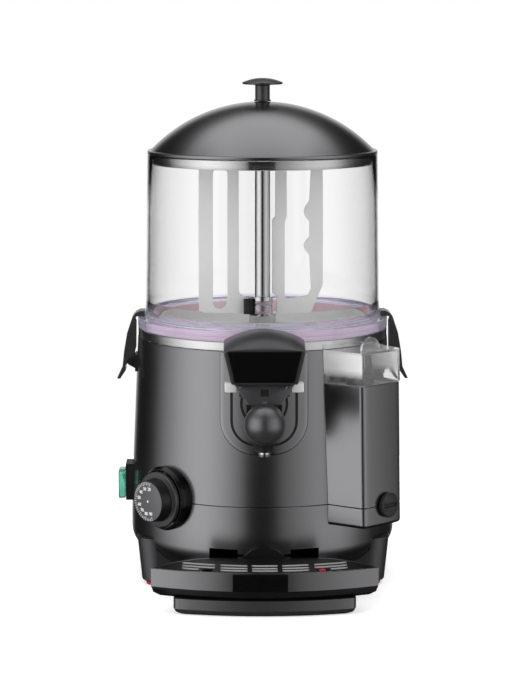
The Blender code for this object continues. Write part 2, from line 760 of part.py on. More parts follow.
def motor_bracket():
    """Bent sheet bridge that stands in the lower shell and carries the gear motor."""
    top = BRACKET_Z + BRACKET_SHEET
    foot = BELLY_BOTTOM_Z + SHELL_WALL + FIT
    half = BRACKET_HALF_SPAN
    sheet = BRACKET_SHEET
    right = [(half, top), (half, foot + sheet), (half + BRACKET_FOOT, foot + sheet),
             (half + BRACKET_FOOT, foot), (half - sheet, foot), (half - sheet, BRACKET_Z)]
    left = [(-x, z) for x, z in reversed(right)]
    bracket = plate("motor_bracket", [right + left], BRACKET_DEPTH, FRONT_VIEW, AXIS)
    cut(bracket, rod("bracket_shaft_hole", SHAFT_RADIUS + 2 * FIT, axis_at(BRACKET_Z - OVERRUN),
                     axis_at(top + OVERRUN)))
    return finished(bracket, "steel")


def gear_motor():
    top = BRACKET_Z - FIT
    low = top - GEARBOX_HEIGHT
    motor = block("gear_motor", (-GEARBOX_HALF_WIDTH, GEARBOX_HALF_WIDTH),
                  (-GEARBOX_HALF_DEPTH, GEARBOX_HALF_DEPTH), (low, top), GEARBOX_BEVEL)
    join(motor, rod("motor_can", MOTOR_RADIUS, axis_at(MOTOR_BOTTOM_Z),
                    axis_at(low + OVERRUN)))
    cut(motor, rod("gearbox_bore", SHAFT_RADIUS + FIT, axis_at(SHAFT_BOTTOM_Z - FIT),
                   axis_at(top + OVERRUN)))
    return finished(motor, "motor")


# Base, feet and front foot.
PAD_HEIGHT = 0.0027
PAD_RADIUS = 0.0095
BASE_BOTTOM_Z = PAD_HEIGHT + FIT
BASE_TOP_Z = 0.045
BASE_HALF_WIDTH = 0.118
BASE_FOOT_HALF_WIDTH = 0.1138
BASE_FRONT = 0.072
BASE_REAR = 0.104
BASE_CORNER = 0.017
BASE_CHAMFER = 0.0015
BASE_WALL_SHARE = 0.25
BASE_DECK = 0.003
PAD_INSET = 0.0135
WIRE_HOLE = 0.028
COVER_THICKNESS = 0.0015


def base_ring(half, grow, z):
    """Outline of the base at height z."""
    front = BASE_FRONT + grow
    rear = -BASE_REAR - grow
    outline = rounded([(-half, rear), (half, rear), (half, front), (-half, front)],
                      [BASE_CORNER] * 4, 2 * CORNER_STEPS)
    return [at(x, d, z) for x, d in outline]


def base_recess(name, grow, low, high):
    """Hollow under the base's deck, between the solid rims that stand on the pads."""
    rim = BASE_HALF_WIDTH * BASE_WALL_SHARE
    return block(name, (-BASE_HALF_WIDTH + rim - grow, BASE_HALF_WIDTH - rim + grow),
                 (-BASE_REAR + rim - grow, BASE_FRONT - rim + grow), (low, high))


def base_frame():
    """Moulded base: its corners rise round the belly, which rests on its deck."""
    low = BASE_BOTTOM_Z
    base = lofted("base_frame",
                  [base_ring(BASE_FOOT_HALF_WIDTH - BASE_CHAMFER, -BASE_CHAMFER, low),
                   base_ring(BASE_FOOT_HALF_WIDTH, 0, low + BASE_CHAMFER),
                   base_ring(BASE_HALF_WIDTH, 0, BASE_TOP_Z)])
    deck = BELLY_BOTTOM_Z - FIT - BASE_DECK
    cut(base, body_envelope("base_envelope", FIT),
        base_recess("base_recess", 0, low - OVERRUN, deck),
        rod("base_wire_hole", WIRE_HOLE, axis_at(deck - OVERRUN),
            axis_at(BELLY_BOTTOM_Z + OVERRUN)))
    return finished(base, "trim")


def base_cover():
    cover = base_recess("base_cover", -FIT, BASE_BOTTOM_Z, BASE_BOTTOM_Z + COVER_THICKNESS)
    return finished(cover, "black")


def feet():
    x = BASE_FOOT_HALF_WIDTH - PAD_INSET
    for row, d in (("front", BASE_FRONT - PAD_INSET), ("rear", -BASE_REAR + PAD_INSET)):
        for side, sign in (("left", -1), ("right", 1)):
            pad = rod("foot_" + row + "_" + side, PAD_RADIUS, at(sign * x, d, 0),
                      at(sign * x, d, PAD_HEIGHT))
            finished(pad, "rubber")


FOOT_HALF_WIDTH = 0.0815
FOOT_REACH = 0.186
FOOT_ARC_RADIUS = 0.285
FOOT_HEIGHT = 0.015
FOOT_ROUND = 0.0055
FOOT_CORNER = 0.006
FRONT_ARC_STEPS = 10


def front_arc(reach, radius, half_width):
    """Points (x, d) of a shallow arc across the front, from the right to the left."""
    centre = reach - radius
    sweep = math.degrees(math.asin(half_width / radius))
    return arc((0, centre), radius, 90 - sweep, 90 + sweep, FRONT_ARC_STEPS)


def foot_ring(inset, z):
    half = FOOT_HALF_WIDTH - inset
    front = front_arc(FOOT_REACH - inset, FOOT_ARC_RADIUS, half)
    rear = BASE_FRONT + FIT
    corners = [(-half, rear), (half, rear)] + front
    radii = [0, 0, FOOT_CORNER] + [0] * (len(front) - 2) + [FOOT_CORNER]
    return [at(x, d, z) for x, d in rounded(corners, radii)]


def front_foot():
    share = FOOT_ROUND / 3
    foot = lofted("front_foot", [foot_ring(FOOT_ROUND, 0), foot_ring(share, share),
                                 foot_ring(0, FOOT_ROUND), foot_ring(0, FOOT_HEIGHT)])
    return finished(foot, "trim")


# Drip tray, grille, float and bare plate.
TRAY_BOTTOM_Z = FOOT_HEIGHT + FIT
TRAY_TOP_Z = 0.041
TRAY_ARC_RADIUS = 0.240
TRAY_HALF_WIDTH = 0.1015
TRAY_REAR = 0.1275
TRAY_REAR_FLAT = 0.035
TRAY_REAR_POWER = 2.5
TRAY_BEVEL = 0.008
TRAY_BEVEL_HEIGHT = 0.0095
TRAY_RIM = 0.0025
TRAY_LEDGE = 0.005
GRILLE_THICKNESS = 0.0032
TAB_RADIUS = 0.0243
TAB_CENTRE_Z = 0.0265
TAB_FOOT_Z = 0.032
LUG_X = (0.031, 0.043)
LUG_Z = (0.029, 0.034)
LUG_REACH = 0.0175
WINDOW_X = (0.024, 0.050)
WINDOW_Z = (0.0275, 0.047)


def tray_ring(inset, z):
    """Outline of the tray, moved inwards by inset: a shallow arc and a curved rear edge."""
    half = TRAY_HALF_WIDTH - inset
    corner_d = math.sqrt(TRAY_ARC_RADIUS ** 2 - TRAY_HALF_WIDTH ** 2) - TRAY_ARC_RADIUS
    corner_d += TRAY_REACH
    front = front_arc(TRAY_REACH - inset, TRAY_ARC_RADIUS - inset, half)
    rear = []
    for step in range(1, FRONT_ARC_STEPS):
        x = -half + 2 * half * step / FRONT_ARC_STEPS
        away = max(abs(x) - TRAY_REAR_FLAT, 0) / (TRAY_HALF_WIDTH - TRAY_REAR_FLAT)
        d = TRAY_REAR + (corner_d - TRAY_REAR) * away ** TRAY_REAR_POWER
        rear.append((x, d + inset))
    return [at(x, d, z) for x, d in front + rear]


def drip_tray():
    bevel_top = TRAY_BOTTOM_Z + TRAY_BEVEL_HEIGHT
    seat = TRAY_TOP_Z - GRILLE_THICKNESS - FIT
    floor = TRAY_BOTTOM_Z + SHELL_WALL
    tray = lofted("drip_tray", [tray_ring(TRAY_BEVEL, TRAY_BOTTOM_Z),
                                tray_ring(TRAY_BEVEL / 4, TRAY_BOTTOM_Z + TRAY_BEVEL / 2),
                                tray_ring(0, bevel_top), tray_ring(0, TRAY_TOP_Z)])
    cut(tray, lofted("tray_hollow", [tray_ring(TRAY_BEVEL + SHELL_WALL, floor),
                                     tray_ring(TRAY_LEDGE, bevel_top + SHELL_WALL),
                                     tray_ring(TRAY_LEDGE, TRAY_TOP_Z + OVERRUN)]),
        lofted("tray_seat", [tray_ring(TRAY_RIM, seat),
                             tray_ring(TRAY_RIM, TRAY_TOP_Z + OVERRUN)]))
    half_chord = math.degrees(math.acos((TAB_FOOT_Z - TAB_CENTRE_Z) / TAB_RADIUS))
    tab = arc((0, TAB_CENTRE_Z), TAB_RADIUS, 90 - half_chord, 90 + half_chord,
              4 * CORNER_STEPS)
    join(tray, plate("tray_tab", [tab], TRAY_RIM, FRONT_VIEW,
                     at(0, TRAY_REAR + TRAY_RIM / 2, 0)))
    for side in (-1, 1):
        join(tray, block("tray_lug", sorted(side * x for x in LUG_X),
                         (TRAY_REAR - LUG_REACH, TRAY_REAR + TRAY_RIM), LUG_Z))
    return finished(tray, "trim")


SLOT_ROWS = (0.0085, 0.0175, 0.0275)
SLOT_WIDTH = 0.0052
SLOT_GROUPS = ((-0.074, -0.0445), (-0.0395, -0.0155), (-0.0115, 0.0115), (0.0155, 0.0395),
               (0.0445, 0.074))
FLOAT_X = 0.051
FLOAT_D = TRAY_REACH - 0.0149
FLOAT_HOLE = 0.0052
FLOAT_POST = 0.0032
FLOAT_DISC = 0.0075
FLOAT_ARM_REACH = 0.010
FLOAT_DISC_D = FLOAT_D - FLOAT_ARM_REACH
FLOAT_ARM = 0.0015
FLOAT_TOP_Z = 0.0415
FLOAT_TRAVEL = 0.006
SLOT_STEPS = 3


def slot_sector(left, right, offset):
    """Curved slot between two x limits, a set distance behind the tray's front edge."""
    points = []
    for radius, ends in ((TRAY_ARC_RADIUS - offset, (left, right)),
                         (TRAY_ARC_RADIUS - offset - SLOT_WIDTH, (right, left))):
        turns = [math.degrees(math.acos(x / radius)) for x in ends]
        points += arc((0, TRAY_REACH - TRAY_ARC_RADIUS), radius, turns[0], turns[1], SLOT_STEPS)
    return points


def drip_grille():
    """Lift-out grille with three rows of curved slots and two round holes."""
    inset = TRAY_RIM + FIT
    low = TRAY_TOP_Z - GRILLE_THICKNESS
    grille = lofted("drip_grille", [tray_ring(inset, low), tray_ring(inset, TRAY_TOP_Z)])
    slots = []
    for row, offset in enumerate(SLOT_ROWS):
        for left, right in SLOT_GROUPS:
            ends = [left, right]
            if row == 0 and max(abs(left), abs(right)) > FLOAT_X:
                clear = FLOAT_X + FLOAT_HOLE + SLOT_WIDTH / 2
                ends = [clear, right] if left > 0 else [left, -clear]
            slots.append(slot_sector(ends[0], ends[1], offset))
    middle = low + GRILLE_THICKNESS / 2
    cut(grille, plate("grille_slots", slots, GRILLE_THICKNESS + OVERRUN, PLAN_VIEW,
                      axis_at(middle)))
    for side in (-1, 1):
        cut(grille, rod("grille_hole", FLOAT_HOLE, at(side * FLOAT_X, FLOAT_D, low - OVERRUN),
                        at(side * FLOAT_X, FLOAT_D, TRAY_TOP_Z + OVERRUN), TINY_STEPS))
    return finished(grille, "trim")


def tray_float():
    floor = TRAY_BOTTOM_Z + SHELL_WALL + FIT
    disc_top = TRAY_TOP_Z - GRILLE_THICKNESS - FLOAT_TRAVEL - 2 * FIT - SHELL_WALL
    marker = rod("tray_float", FLOAT_DISC, at(FLOAT_X, FLOAT_DISC_D, floor),
                 at(FLOAT_X, FLOAT_DISC_D, disc_top))
    arm = (disc_top - FLOAT_ARM, disc_top + FLOAT_ARM)
    join(marker, rod("float_post", FLOAT_POST, at(FLOAT_X, FLOAT_D, arm[0]),
                     at(FLOAT_X, FLOAT_D, FLOAT_TOP_Z), TINY_STEPS),
         block("float_arm", (FLOAT_X - FLOAT_ARM, FLOAT_X + FLOAT_ARM),
               (FLOAT_DISC_D, FLOAT_D), arm))
    return finished(marker, "rubber")


LABEL_X = (-0.0288, 0.0203)
LABEL_Z = (0.0248, 0.0402)
LABEL_STEPS = 4


def tray_label():
    """Bare plate on the tray's front, bent to its arc."""
    points = []
    for radius, ends in ((TRAY_ARC_RADIUS + FIT + LABEL_THICKNESS, LABEL_X),
                         (TRAY_ARC_RADIUS + FIT, tuple(reversed(LABEL_X)))):
        turns = [math.degrees(math.acos(x / radius)) for x in ends]
        points += arc((0, TRAY_REACH - TRAY_ARC_RADIUS), radius, turns[0], turns[1],
                      LABEL_STEPS)
    label = plate("tray_label", [points], LABEL_Z[1] - LABEL_Z[0], PLAN_VIEW,
                  axis_at(sum(LABEL_Z) / 2))
    return finished(label, "gloss")


# Tap: housing on the outlet pipe, piston, lever with its ball, hood and panel.
TAP_RADIUS = 0.012
TAP_BORE = 0.008
TAP_TOP_Z = 0.1855
TAP_FLARE_Z = 0.152
SPOUT_COLLAR_RADIUS = 0.0082
SPOUT_COLLAR_TOP_Z = 0.146
SPOUT_COLLAR_Z = 0.1415
SPOUT_BORE = 0.0055
TIP_RADIUS = 0.0052
TIP_BORE = 0.004
TIP_BOTTOM_Z = 0.1365
TAP_SLEEVE_RADIUS = 0.013
PLATE_LIFT = 0.0015
TAP_PLUG = TAP_BACK + 0.0035
PIVOT_D = TAP_BACK + 0.005
PIVOT_Z = 0.198
PIN_RADIUS = 0.002
PIN_HALF = 0.0295
EAR_X = (0.0125, 0.016)
EAR_HALF_DEPTH = 0.0045
EAR_TOP_Z = 0.2025
EAR_BOTTOM_Z = 0.166


def tap_body():
    """Valve housing: upright bore with its spout, sleeve to the pipe and two pin ears."""
    profile = [(TAP_RADIUS, TAP_TOP_Z), (TAP_RADIUS, TAP_FLARE_Z),
               (SPOUT_COLLAR_RADIUS, SPOUT_COLLAR_TOP_Z), (SPOUT_COLLAR_RADIUS, SPOUT_COLLAR_Z),
               (SPOUT_BORE, SPOUT_COLLAR_Z), (SPOUT_BORE, TAP_FLARE_Z),
               (TAP_BORE, TAP_FLARE_Z + TAP_BORE - SPOUT_BORE), (TAP_BORE, TAP_TOP_Z)]
    body = turned("tap_body", profile, at(0, TAP_D, 0), steps=SMALL_STEPS)
    join(body, rod("tap_sleeve", TAP_SLEEVE_RADIUS, at(0, TAP_BACK, OUTLET_Z),
                   at(0, TAP_D - TAP_BORE - 4 * FIT, OUTLET_Z)))
    for side in (-1, 1):
        join(body, block("tap_ear", sorted(side * x for x in EAR_X),
                         (PIVOT_D - EAR_HALF_DEPTH, PIVOT_D + EAR_HALF_DEPTH),
                         (EAR_BOTTOM_Z, EAR_TOP_Z)))
    web = (PIVOT_D - EAR_HALF_DEPTH, PIVOT_D + EAR_HALF_DEPTH)
    join(body, block("tap_web", (-EAR_X[1], EAR_X[1]), web,
                     (EAR_BOTTOM_Z, OUTLET_Z + TAP_SLEEVE_RADIUS / 2)))
    cut(body, rod("tap_pipe_bore", OUTLET_RADIUS + FIT, at(0, TAP_BACK - OVERRUN, OUTLET_Z),
                  at(0, OUTLET_REACH + FIT, OUTLET_Z)),
        rod("tap_port", OUTLET_BORE - FIT, at(0, TAP_PLUG, OUTLET_Z), at(0, TAP_D, OUTLET_Z),
            SMALL_STEPS),
        rod("tap_pin_hole", PIN_RADIUS + FIT, at(-PIN_HALF, PIVOT_D, PIVOT_Z),
            at(PIN_HALF, PIVOT_D, PIVOT_Z), TINY_STEPS))
    return finished(body, "trim")


def spout_tip():
    top = TAP_FLARE_Z - FIT
    profile = [(TIP_RADIUS, top), (TIP_RADIUS, TIP_BOTTOM_Z), (TIP_BORE, TIP_BOTTOM_Z),
               (TIP_BORE, top)]
    return finished(turned("spout_tip", profile, at(0, TAP_D, 0), steps=SMALL_STEPS), "steel")


PISTON_RADIUS = 0.0077
PISTON_FOOT_Z = 0.161
PISTON_TOP_Z = 0.184
ROD_RADIUS = 0.003
ROD_TOP_Z = 0.224
ROD_COLLAR_RADIUS = 0.007
ROD_COLLAR_Z = (0.2045, 0.2075)


def valve_piston():
    profile = [(0, ROD_TOP_Z), (ROD_RADIUS, ROD_TOP_Z), (ROD_RADIUS, ROD_COLLAR_Z[1]),
               (ROD_COLLAR_RADIUS, ROD_COLLAR_Z[1]), (ROD_COLLAR_RADIUS, ROD_COLLAR_Z[0]),
               (ROD_RADIUS, ROD_COLLAR_Z[0]), (ROD_RADIUS, PISTON_TOP_Z),
               (PISTON_RADIUS, PISTON_TOP_Z), (PISTON_RADIUS, PISTON_FOOT_Z), (0, PISTON_FOOT_Z)]
    piston = turned("valve_piston", profile, at(0, TAP_D, 0), steps=SMALL_STEPS, ring=False)
    return finished(piston, "steel")


SPRING_WIRE = 0.0007
SPRING_RADIUS = 0.0055
SPRING_TURNS = 6
SPRING_POINTS = 8
SPRING_TOP_Z = 0.2320


def return_spring():
    """Coil spring between the piston rod's collar and the hood's seat."""
    low = ROD_COLLAR_Z[1] + FIT + SPRING_WIRE
    high = SPRING_TOP_Z - FIT - SPRING_WIRE
    curve = bpy.data.curves.new("return_spring", "CURVE")
    curve.dimensions = "3D"
    curve.bevel_depth = SPRING_WIRE
    curve.bevel_resolution = 1
    curve.use_fill_caps = True
    count = SPRING_TURNS * SPRING_POINTS + 1
    spline = curve.splines.new("POLY")
    spline.points.add(count - 1)
    for i, point in enumerate(spline.points):
        turn = 2 * math.pi * i / SPRING_POINTS
        z = low + (high - low) * i / (count - 1)
        place = at(SPRING_RADIUS * math.sin(turn), TAP_D + SPRING_RADIUS * math.cos(turn), z)
        point.co = (*place, 1)
    return finished(new_object("return_spring", curve), "steel")


LEVER_TOP = (TAP_D + 0.009, 0.2035)
LEVER_FOOT = (TAP_D + 0.0145, 0.186)
LEVER_SHEET = 0.003
LEVER_HALF_TOP = 0.0272
LEVER_HALF_FOOT = 0.0145
LEVER_SLOT_HALF = 0.004
LEVER_SLOT = (0.0045, 0.0125)
ARM_X = (0.019, 0.0225)
ARM_Z = (0.193, 0.2025)
FORK_X = (0.0040, 0.0085)
FORK_Z = (0.2010, 0.2042)
FORK_D = (TAP_D - 0.0045, TAP_D + 0.0085)
BALL_RADIUS = 0.0185
BALL_D = TAP_D + TAP_RADIUS + BALL_RADIUS + 0.0005
BALL_Z = 0.1715
STEM_RADIUS = 0.003
STEM_SEAT = 0.010


def lever_stem_start():
    d = LEVER_FOOT[0] - LEVER_SHEET / 4
    return at(0, d, LEVER_FOOT[1] + LEVER_SHEET)


def tap_lever():
    """V-shaped lever plate with two arms back to the pin, the piston's fork and a stem."""
    top = Vector(at(0, *LEVER_TOP))
    foot = Vector(at(0, *LEVER_FOOT))
    length = (foot - top).length
    down = (foot - top).normalized()
    side = Vector((1, 0, 0))
    view = Matrix((side, down, side.cross(down))).transposed()
    outline = rounded([(-LEVER_HALF_TOP, 0), (LEVER_HALF_TOP, 0), (LEVER_HALF_FOOT, length),
                       (-LEVER_HALF_FOOT, length)], [LEVER_SHEET] * 4)
    slot = [(-LEVER_SLOT_HALF, LEVER_SLOT[0]), (LEVER_SLOT_HALF, LEVER_SLOT[0]),
            (LEVER_SLOT_HALF, LEVER_SLOT[1]), (-LEVER_SLOT_HALF, LEVER_SLOT[1])]
    lever = plate("tap_lever", [outline, slot], LEVER_SHEET, view, top)
    for sign in (-1, 1):
        join(lever, block("lever_arm", sorted(sign * x for x in ARM_X),
                          (PIVOT_D - EAR_HALF_DEPTH, LEVER_TOP[0] + LEVER_SHEET), ARM_Z),
             block("lever_fork", sorted(sign * x for x in FORK_X),
                   (FORK_D[0], LEVER_TOP[0] + LEVER_SHEET / 3), FORK_Z))
    join(lever, block("lever_bridge", (-ARM_X[1], ARM_X[1]),
                      (FORK_D[1], LEVER_TOP[0] + LEVER_SHEET / 2),
                      (FORK_Z[0] - LEVER_SHEET, FORK_Z[1] - LEVER_SHEET / 3)))
    ball = at(0, BALL_D, BALL_Z)
    start = lever_stem_start()
    reach = (ball - start).normalized() * (BALL_RADIUS - STEM_SEAT)
    join(lever, rod("lever_stem", STEM_RADIUS, start, ball - reach, TINY_STEPS))
    cut(lever, rod("lever_pin_hole", PIN_RADIUS + FIT, at(-PIN_HALF, PIVOT_D, PIVOT_Z),
                   at(PIN_HALF, PIVOT_D, PIVOT_Z), TINY_STEPS))
    return finished(lever, "trim")


def ball_knob():
    mesh = bpy.data.meshes.new("ball_knob")
    build = bmesh.new()
    bmesh.ops.create_uvsphere(build, u_segments=SMALL_STEPS, v_segments=SMALL_STEPS // 2,
                              radius=BALL_RADIUS)
    build.to_mesh(mesh)
    build.free()
    mesh.shade_smooth()
    ball = new_object("ball_knob", mesh)
    ball.location = at(0, BALL_D, BALL_Z)
    start = lever_stem_start()
    reach = (ball.location - start).normalized() * (BALL_RADIUS - STEM_SEAT - FIT)
    cut(ball, rod("ball_socket", STEM_RADIUS + FIT, start, ball.location - reach, TINY_STEPS))
    return finished(ball, "trim")


def pivot_pin():
    pin = rod("pivot_pin", PIN_RADIUS, at(-PIN_HALF, PIVOT_D, PIVOT_Z),
              at(PIN_HALF, PIVOT_D, PIVOT_Z), TINY_STEPS)
    return finished(pin, "steel")


PIN_CAP_X = (0.0245, 0.0355)
PIN_CAP_HALF = 0.0045
PIN_CAP_BEVEL = 0.0012


def pin_caps():
    for name, sign in (("left", -1), ("right", 1)):
        cap = block("pin_cap_" + name, sorted(sign * x for x in PIN_CAP_X),
                    (PIVOT_D - PIN_CAP_HALF, PIVOT_D + PIN_CAP_HALF),
                    (PIVOT_Z - PIN_CAP_HALF, PIVOT_Z + PIN_CAP_HALF), PIN_CAP_BEVEL)
        cut(cap, rod("pin_cap_bore", PIN_RADIUS + FIT, at(0, PIVOT_D, PIVOT_Z),
                     at(sign * (PIN_HALF + FIT), PIVOT_D, PIVOT_Z), TINY_STEPS))
        finished(cap, "white")


HOOD_HALF_TOP = 0.037
HOOD_HALF_FOOT = 0.0295
HOOD_FOOT_Z = 0.2045
HOOD_SHOULDER_Z = 0.238
HOOD_TOP_Z = 0.2495
HOOD_FRONT_FOOT = TAP_D + 0.016
HOOD_FRONT_TOP = TAP_D + 0.020
HOOD_BROW_Z = 0.236
HOOD_BACK_TOP = 0.127
HOOD_ROOT = 0.110
HOOD_CAVITY_HALF = 0.0280
HOOD_CAVITY_D = (0.108, TAP_D + 0.0142)
HOOD_CAVITY_TOP_Z = 0.238
PANEL_HALF_TOP = 0.0325
PANEL_HALF_FOOT = 0.026
PANEL_Z = (0.2065, 0.2345)
PANEL_THICKNESS = 0.0012
PANEL_DEPTH = 0.0008


def hood_slope_d(z):
    """How far forward the hood's sloping front face lies at height z."""
    share = (z - HOOD_FOOT_Z) / (HOOD_BROW_Z - HOOD_FOOT_Z)
    return HOOD_FRONT_FOOT + (HOOD_FRONT_TOP - HOOD_FRONT_FOOT) * share


def tap_hood():
    """Domed cover over the tap's upper end, with a seat for the spring inside it."""
    rise = HOOD_TOP_Z - HOOD_SHOULDER_Z
    radius = (HOOD_HALF_TOP ** 2 + rise ** 2) / (2 * rise)
    half = math.degrees(math.asin(HOOD_HALF_TOP / radius))
    outline = [(-HOOD_HALF_FOOT, HOOD_FOOT_Z), (HOOD_HALF_FOOT, HOOD_FOOT_Z)]
    outline += arc((0, HOOD_TOP_Z - radius), radius, 90 - half, 90 + half, 3 * CORNER_STEPS)
    middle = (HOOD_ROOT + HOOD_FRONT_TOP) / 2
    hood = plate("tap_hood", [outline], HOOD_FRONT_TOP - HOOD_ROOT + OVERRUN, FRONT_VIEW,
                 at(0, middle, 0))
    side = [(HOOD_ROOT, HOOD_FOOT_Z - OVERRUN), (hood_slope_d(HOOD_FOOT_Z - OVERRUN),
                                                 HOOD_FOOT_Z - OVERRUN),
            (HOOD_FRONT_TOP, HOOD_BROW_Z), (HOOD_FRONT_TOP - rise / 2, HOOD_BROW_Z + rise / 2),
            (HOOD_BACK_TOP, HOOD_TOP_Z + FIT), (HOOD_ROOT, HOOD_TOP_Z + FIT)]
    keep_common(hood, plate("hood_side", [side], 2 * HOOD_HALF_TOP + OVERRUN, SIDE_VIEW, AXIS))
    cut(hood, block("hood_cavity", (-HOOD_CAVITY_HALF, HOOD_CAVITY_HALF), HOOD_CAVITY_D,
                    (HOOD_FOOT_Z - OVERRUN, HOOD_CAVITY_TOP_Z)),
        body_envelope("hood_envelope", PLATE_LIFT + 2 * FIT))
    join(hood, rod("spring_seat", SPRING_RADIUS + 2 * SPRING_WIRE, at(0, TAP_D, SPRING_TOP_Z),
                   at(0, TAP_D, HOOD_CAVITY_TOP_Z + SHELL_WALL), SMALL_STEPS))
    cut(hood, panel_shape("panel_recess", FIT, PANEL_DEPTH, 2 * PANEL_THICKNESS))
    return finished(hood, "trim")


def panel_shape(name, grow, depth, thickness):
    """Trapezoid plate on the hood's sloping front, its back face depth below it."""
    low = Vector(at(0, hood_slope_d(PANEL_Z[0]), PANEL_Z[0]))
    high = Vector(at(0, hood_slope_d(PANEL_Z[1]), PANEL_Z[1]))
    rise = (high - low).normalized()
    side = Vector((1, 0, 0))
    out = side.cross(rise)
    view = Matrix((side, rise, out)).transposed()
    length = (high - low).length
    outline = [(-PANEL_HALF_FOOT - grow, -grow), (PANEL_HALF_FOOT + grow, -grow),
               (PANEL_HALF_TOP + grow, length + grow), (-PANEL_HALF_TOP - grow, length + grow)]
    return plate(name, [outline], thickness, view, low + out * (thickness / 2 - depth))


def hood_panel():
    panel = panel_shape("hood_panel", 0, PANEL_DEPTH - FIT, PANEL_THICKNESS)
    return finished(panel, "gloss")


TAP_PLATE_HALF = 0.040
TAP_PLATE_FOOT_Z = 0.1345
TAP_PLATE_TOP_Z = 0.2272
TAP_PLATE_CORNER = 0.032


def tap_plate():
    """Raised plate with a round foot, bent to the upper shell behind the tap."""
    outline = rounded([(-TAP_PLATE_HALF, TAP_PLATE_FOOT_Z), (TAP_PLATE_HALF, TAP_PLATE_FOOT_Z),
                       (TAP_PLATE_HALF, TAP_PLATE_TOP_Z), (-TAP_PLATE_HALF, TAP_PLATE_TOP_Z)],
                      [TAP_PLATE_CORNER, TAP_PLATE_CORNER, 0, 0], 2 * CORNER_STEPS)
    behind = POT_RADIUS
    front = BELLY_RADIUS + OVERRUN
    sheet = plate("tap_plate", [outline], front - behind, FRONT_VIEW,
                  at(0, (front + behind) / 2, 0))
    grown = PLATE_LIFT + FIT
    profile = [(0, BODY_TOP_Z), (BODY_TOP_RADIUS + grown, BODY_TOP_Z),
               (SEAM_RADIUS + grown, SEAM_Z), (0, SEAM_Z)]
    keep_common(sheet, turned("tap_plate_skin", profile, AXIS, ring=False))
    cut(sheet, body_envelope("tap_plate_back", FIT),
        rod("tap_plate_hole", OUTLET_RADIUS + 2 * FIT, at(0, behind, OUTLET_Z),
            at(0, front + OVERRUN, OUTLET_Z)))
    return finished(sheet, "body")


# Shells: the outlines are solids of revolution joined with the side box.
SEAM_GAP = FIT
FLOOR_HOLE_RADIUS = 0.030
FILLER_N = BOX_OUT_TOP - 0.0195
FILLER_T = -0.008
FILLER_HOLE = 0.009
DRAIN_T = 0.0045
DRAIN_Z = 0.0862
DRAIN_NECK = 0.005
DRAIN_N = (BOX_OUT_FOOT + FIT, BOX_OUT_FOOT + 0.0045)
DRAIN_NECK_N = BOX_OUT_FOOT - 0.0085
DRAIN_FLANGE = 0.0115
DRAIN_EDGE = 0.001
DRAIN_KEY = (0.008, 0.0016)
DRAIN_KEY_DEPTH = 0.002
DIAL_BEARING = -45.5
DIAL_Z = 0.088
SPINDLE_RADIUS = 0.003
SPINDLE_HOLE = 0.005
SWITCH_HALF_DEPTH = 0.009
SWITCH_BODY_Z = (0.074, 0.101)
GLAND_Z = 0.060
GLAND_RADIUS = 0.007
VENT_X = (0.030, 0.040, 0.050, 0.060)
VENT_WIDTH = 0.003
VENT_Z = (0.045, 0.075)


def skin_radius(z):
    """Radius of the upper shell's cone, and of the lower shell's, at height z."""
    if z > SEAM_Z:
        share = (BODY_TOP_Z - z) / (BODY_TOP_Z - SEAM_Z)
        return BODY_TOP_RADIUS + (SEAM_RADIUS - BODY_TOP_RADIUS) * share
    share = (SEAM_Z - z) / (SEAM_Z - BELLY_Z)
    return SEAM_RADIUS + (BELLY_RADIUS - SEAM_RADIUS) * share


def shared_holes(shell):
    """Holes at the seam, which both shells share: dial, switch and drain."""
    out = bearing(DIAL_BEARING)
    cut(shell, rod("dial_hole", SPINDLE_HOLE, axis_at(DIAL_Z) + out * POT_RADIUS,
                   axis_at(DIAL_Z) + out * (BELLY_RADIUS + OVERRUN)),
        block("switch_hole", (-BELLY_RADIUS - OVERRUN, -POT_RADIUS),
              (-SWITCH_HALF_DEPTH - FIT, SWITCH_HALF_DEPTH + FIT),
              (SWITCH_BODY_Z[0] - FIT, SWITCH_BODY_Z[1] + FIT)),
        rod("drain_hole", DRAIN_NECK + FIT, box_point(DRAIN_NECK_N, DRAIN_T, DRAIN_Z),
            box_point(DRAIN_N[1], DRAIN_T, DRAIN_Z)))
    return shell


def upper_shell():
    low = SEAM_Z + SEAM_GAP
    solid = [(0, BODY_TOP_Z), (BODY_TOP_RADIUS, BODY_TOP_Z), (skin_radius(low), low), (0, low)]
    shell = turned("upper_shell", solid, AXIS, ring=False)
    join(shell, box_solid("upper_box", 0, low, BOX_TOP_Z))
    hollow = [(0, BODY_TOP_Z + OVERRUN),
              (skin_radius(BODY_TOP_Z + OVERRUN) - SHELL_WALL, BODY_TOP_Z + OVERRUN),
              (skin_radius(low) - SHELL_WALL, low - OVERRUN), (0, low - OVERRUN)]
    cut(shell, turned("upper_hollow", hollow, AXIS, ring=False),
        box_solid("upper_box_hollow", SHELL_WALL, low - OVERRUN, BOX_TOP_Z - SHELL_WALL,
                  POT_RADIUS),
        rod("outlet_hole", OUTLET_RADIUS + 2 * FIT, at(0, POT_RADIUS, OUTLET_Z),
            at(0, BELLY_RADIUS + OVERRUN, OUTLET_Z)),
        rod("filler_hole", FILLER_HOLE, box_point(FILLER_N, FILLER_T, BOX_TOP_Z - OVERRUN),
            box_point(FILLER_N, FILLER_T, BOX_TOP_Z + OVERRUN)))
    return finished(shared_holes(shell), "body")


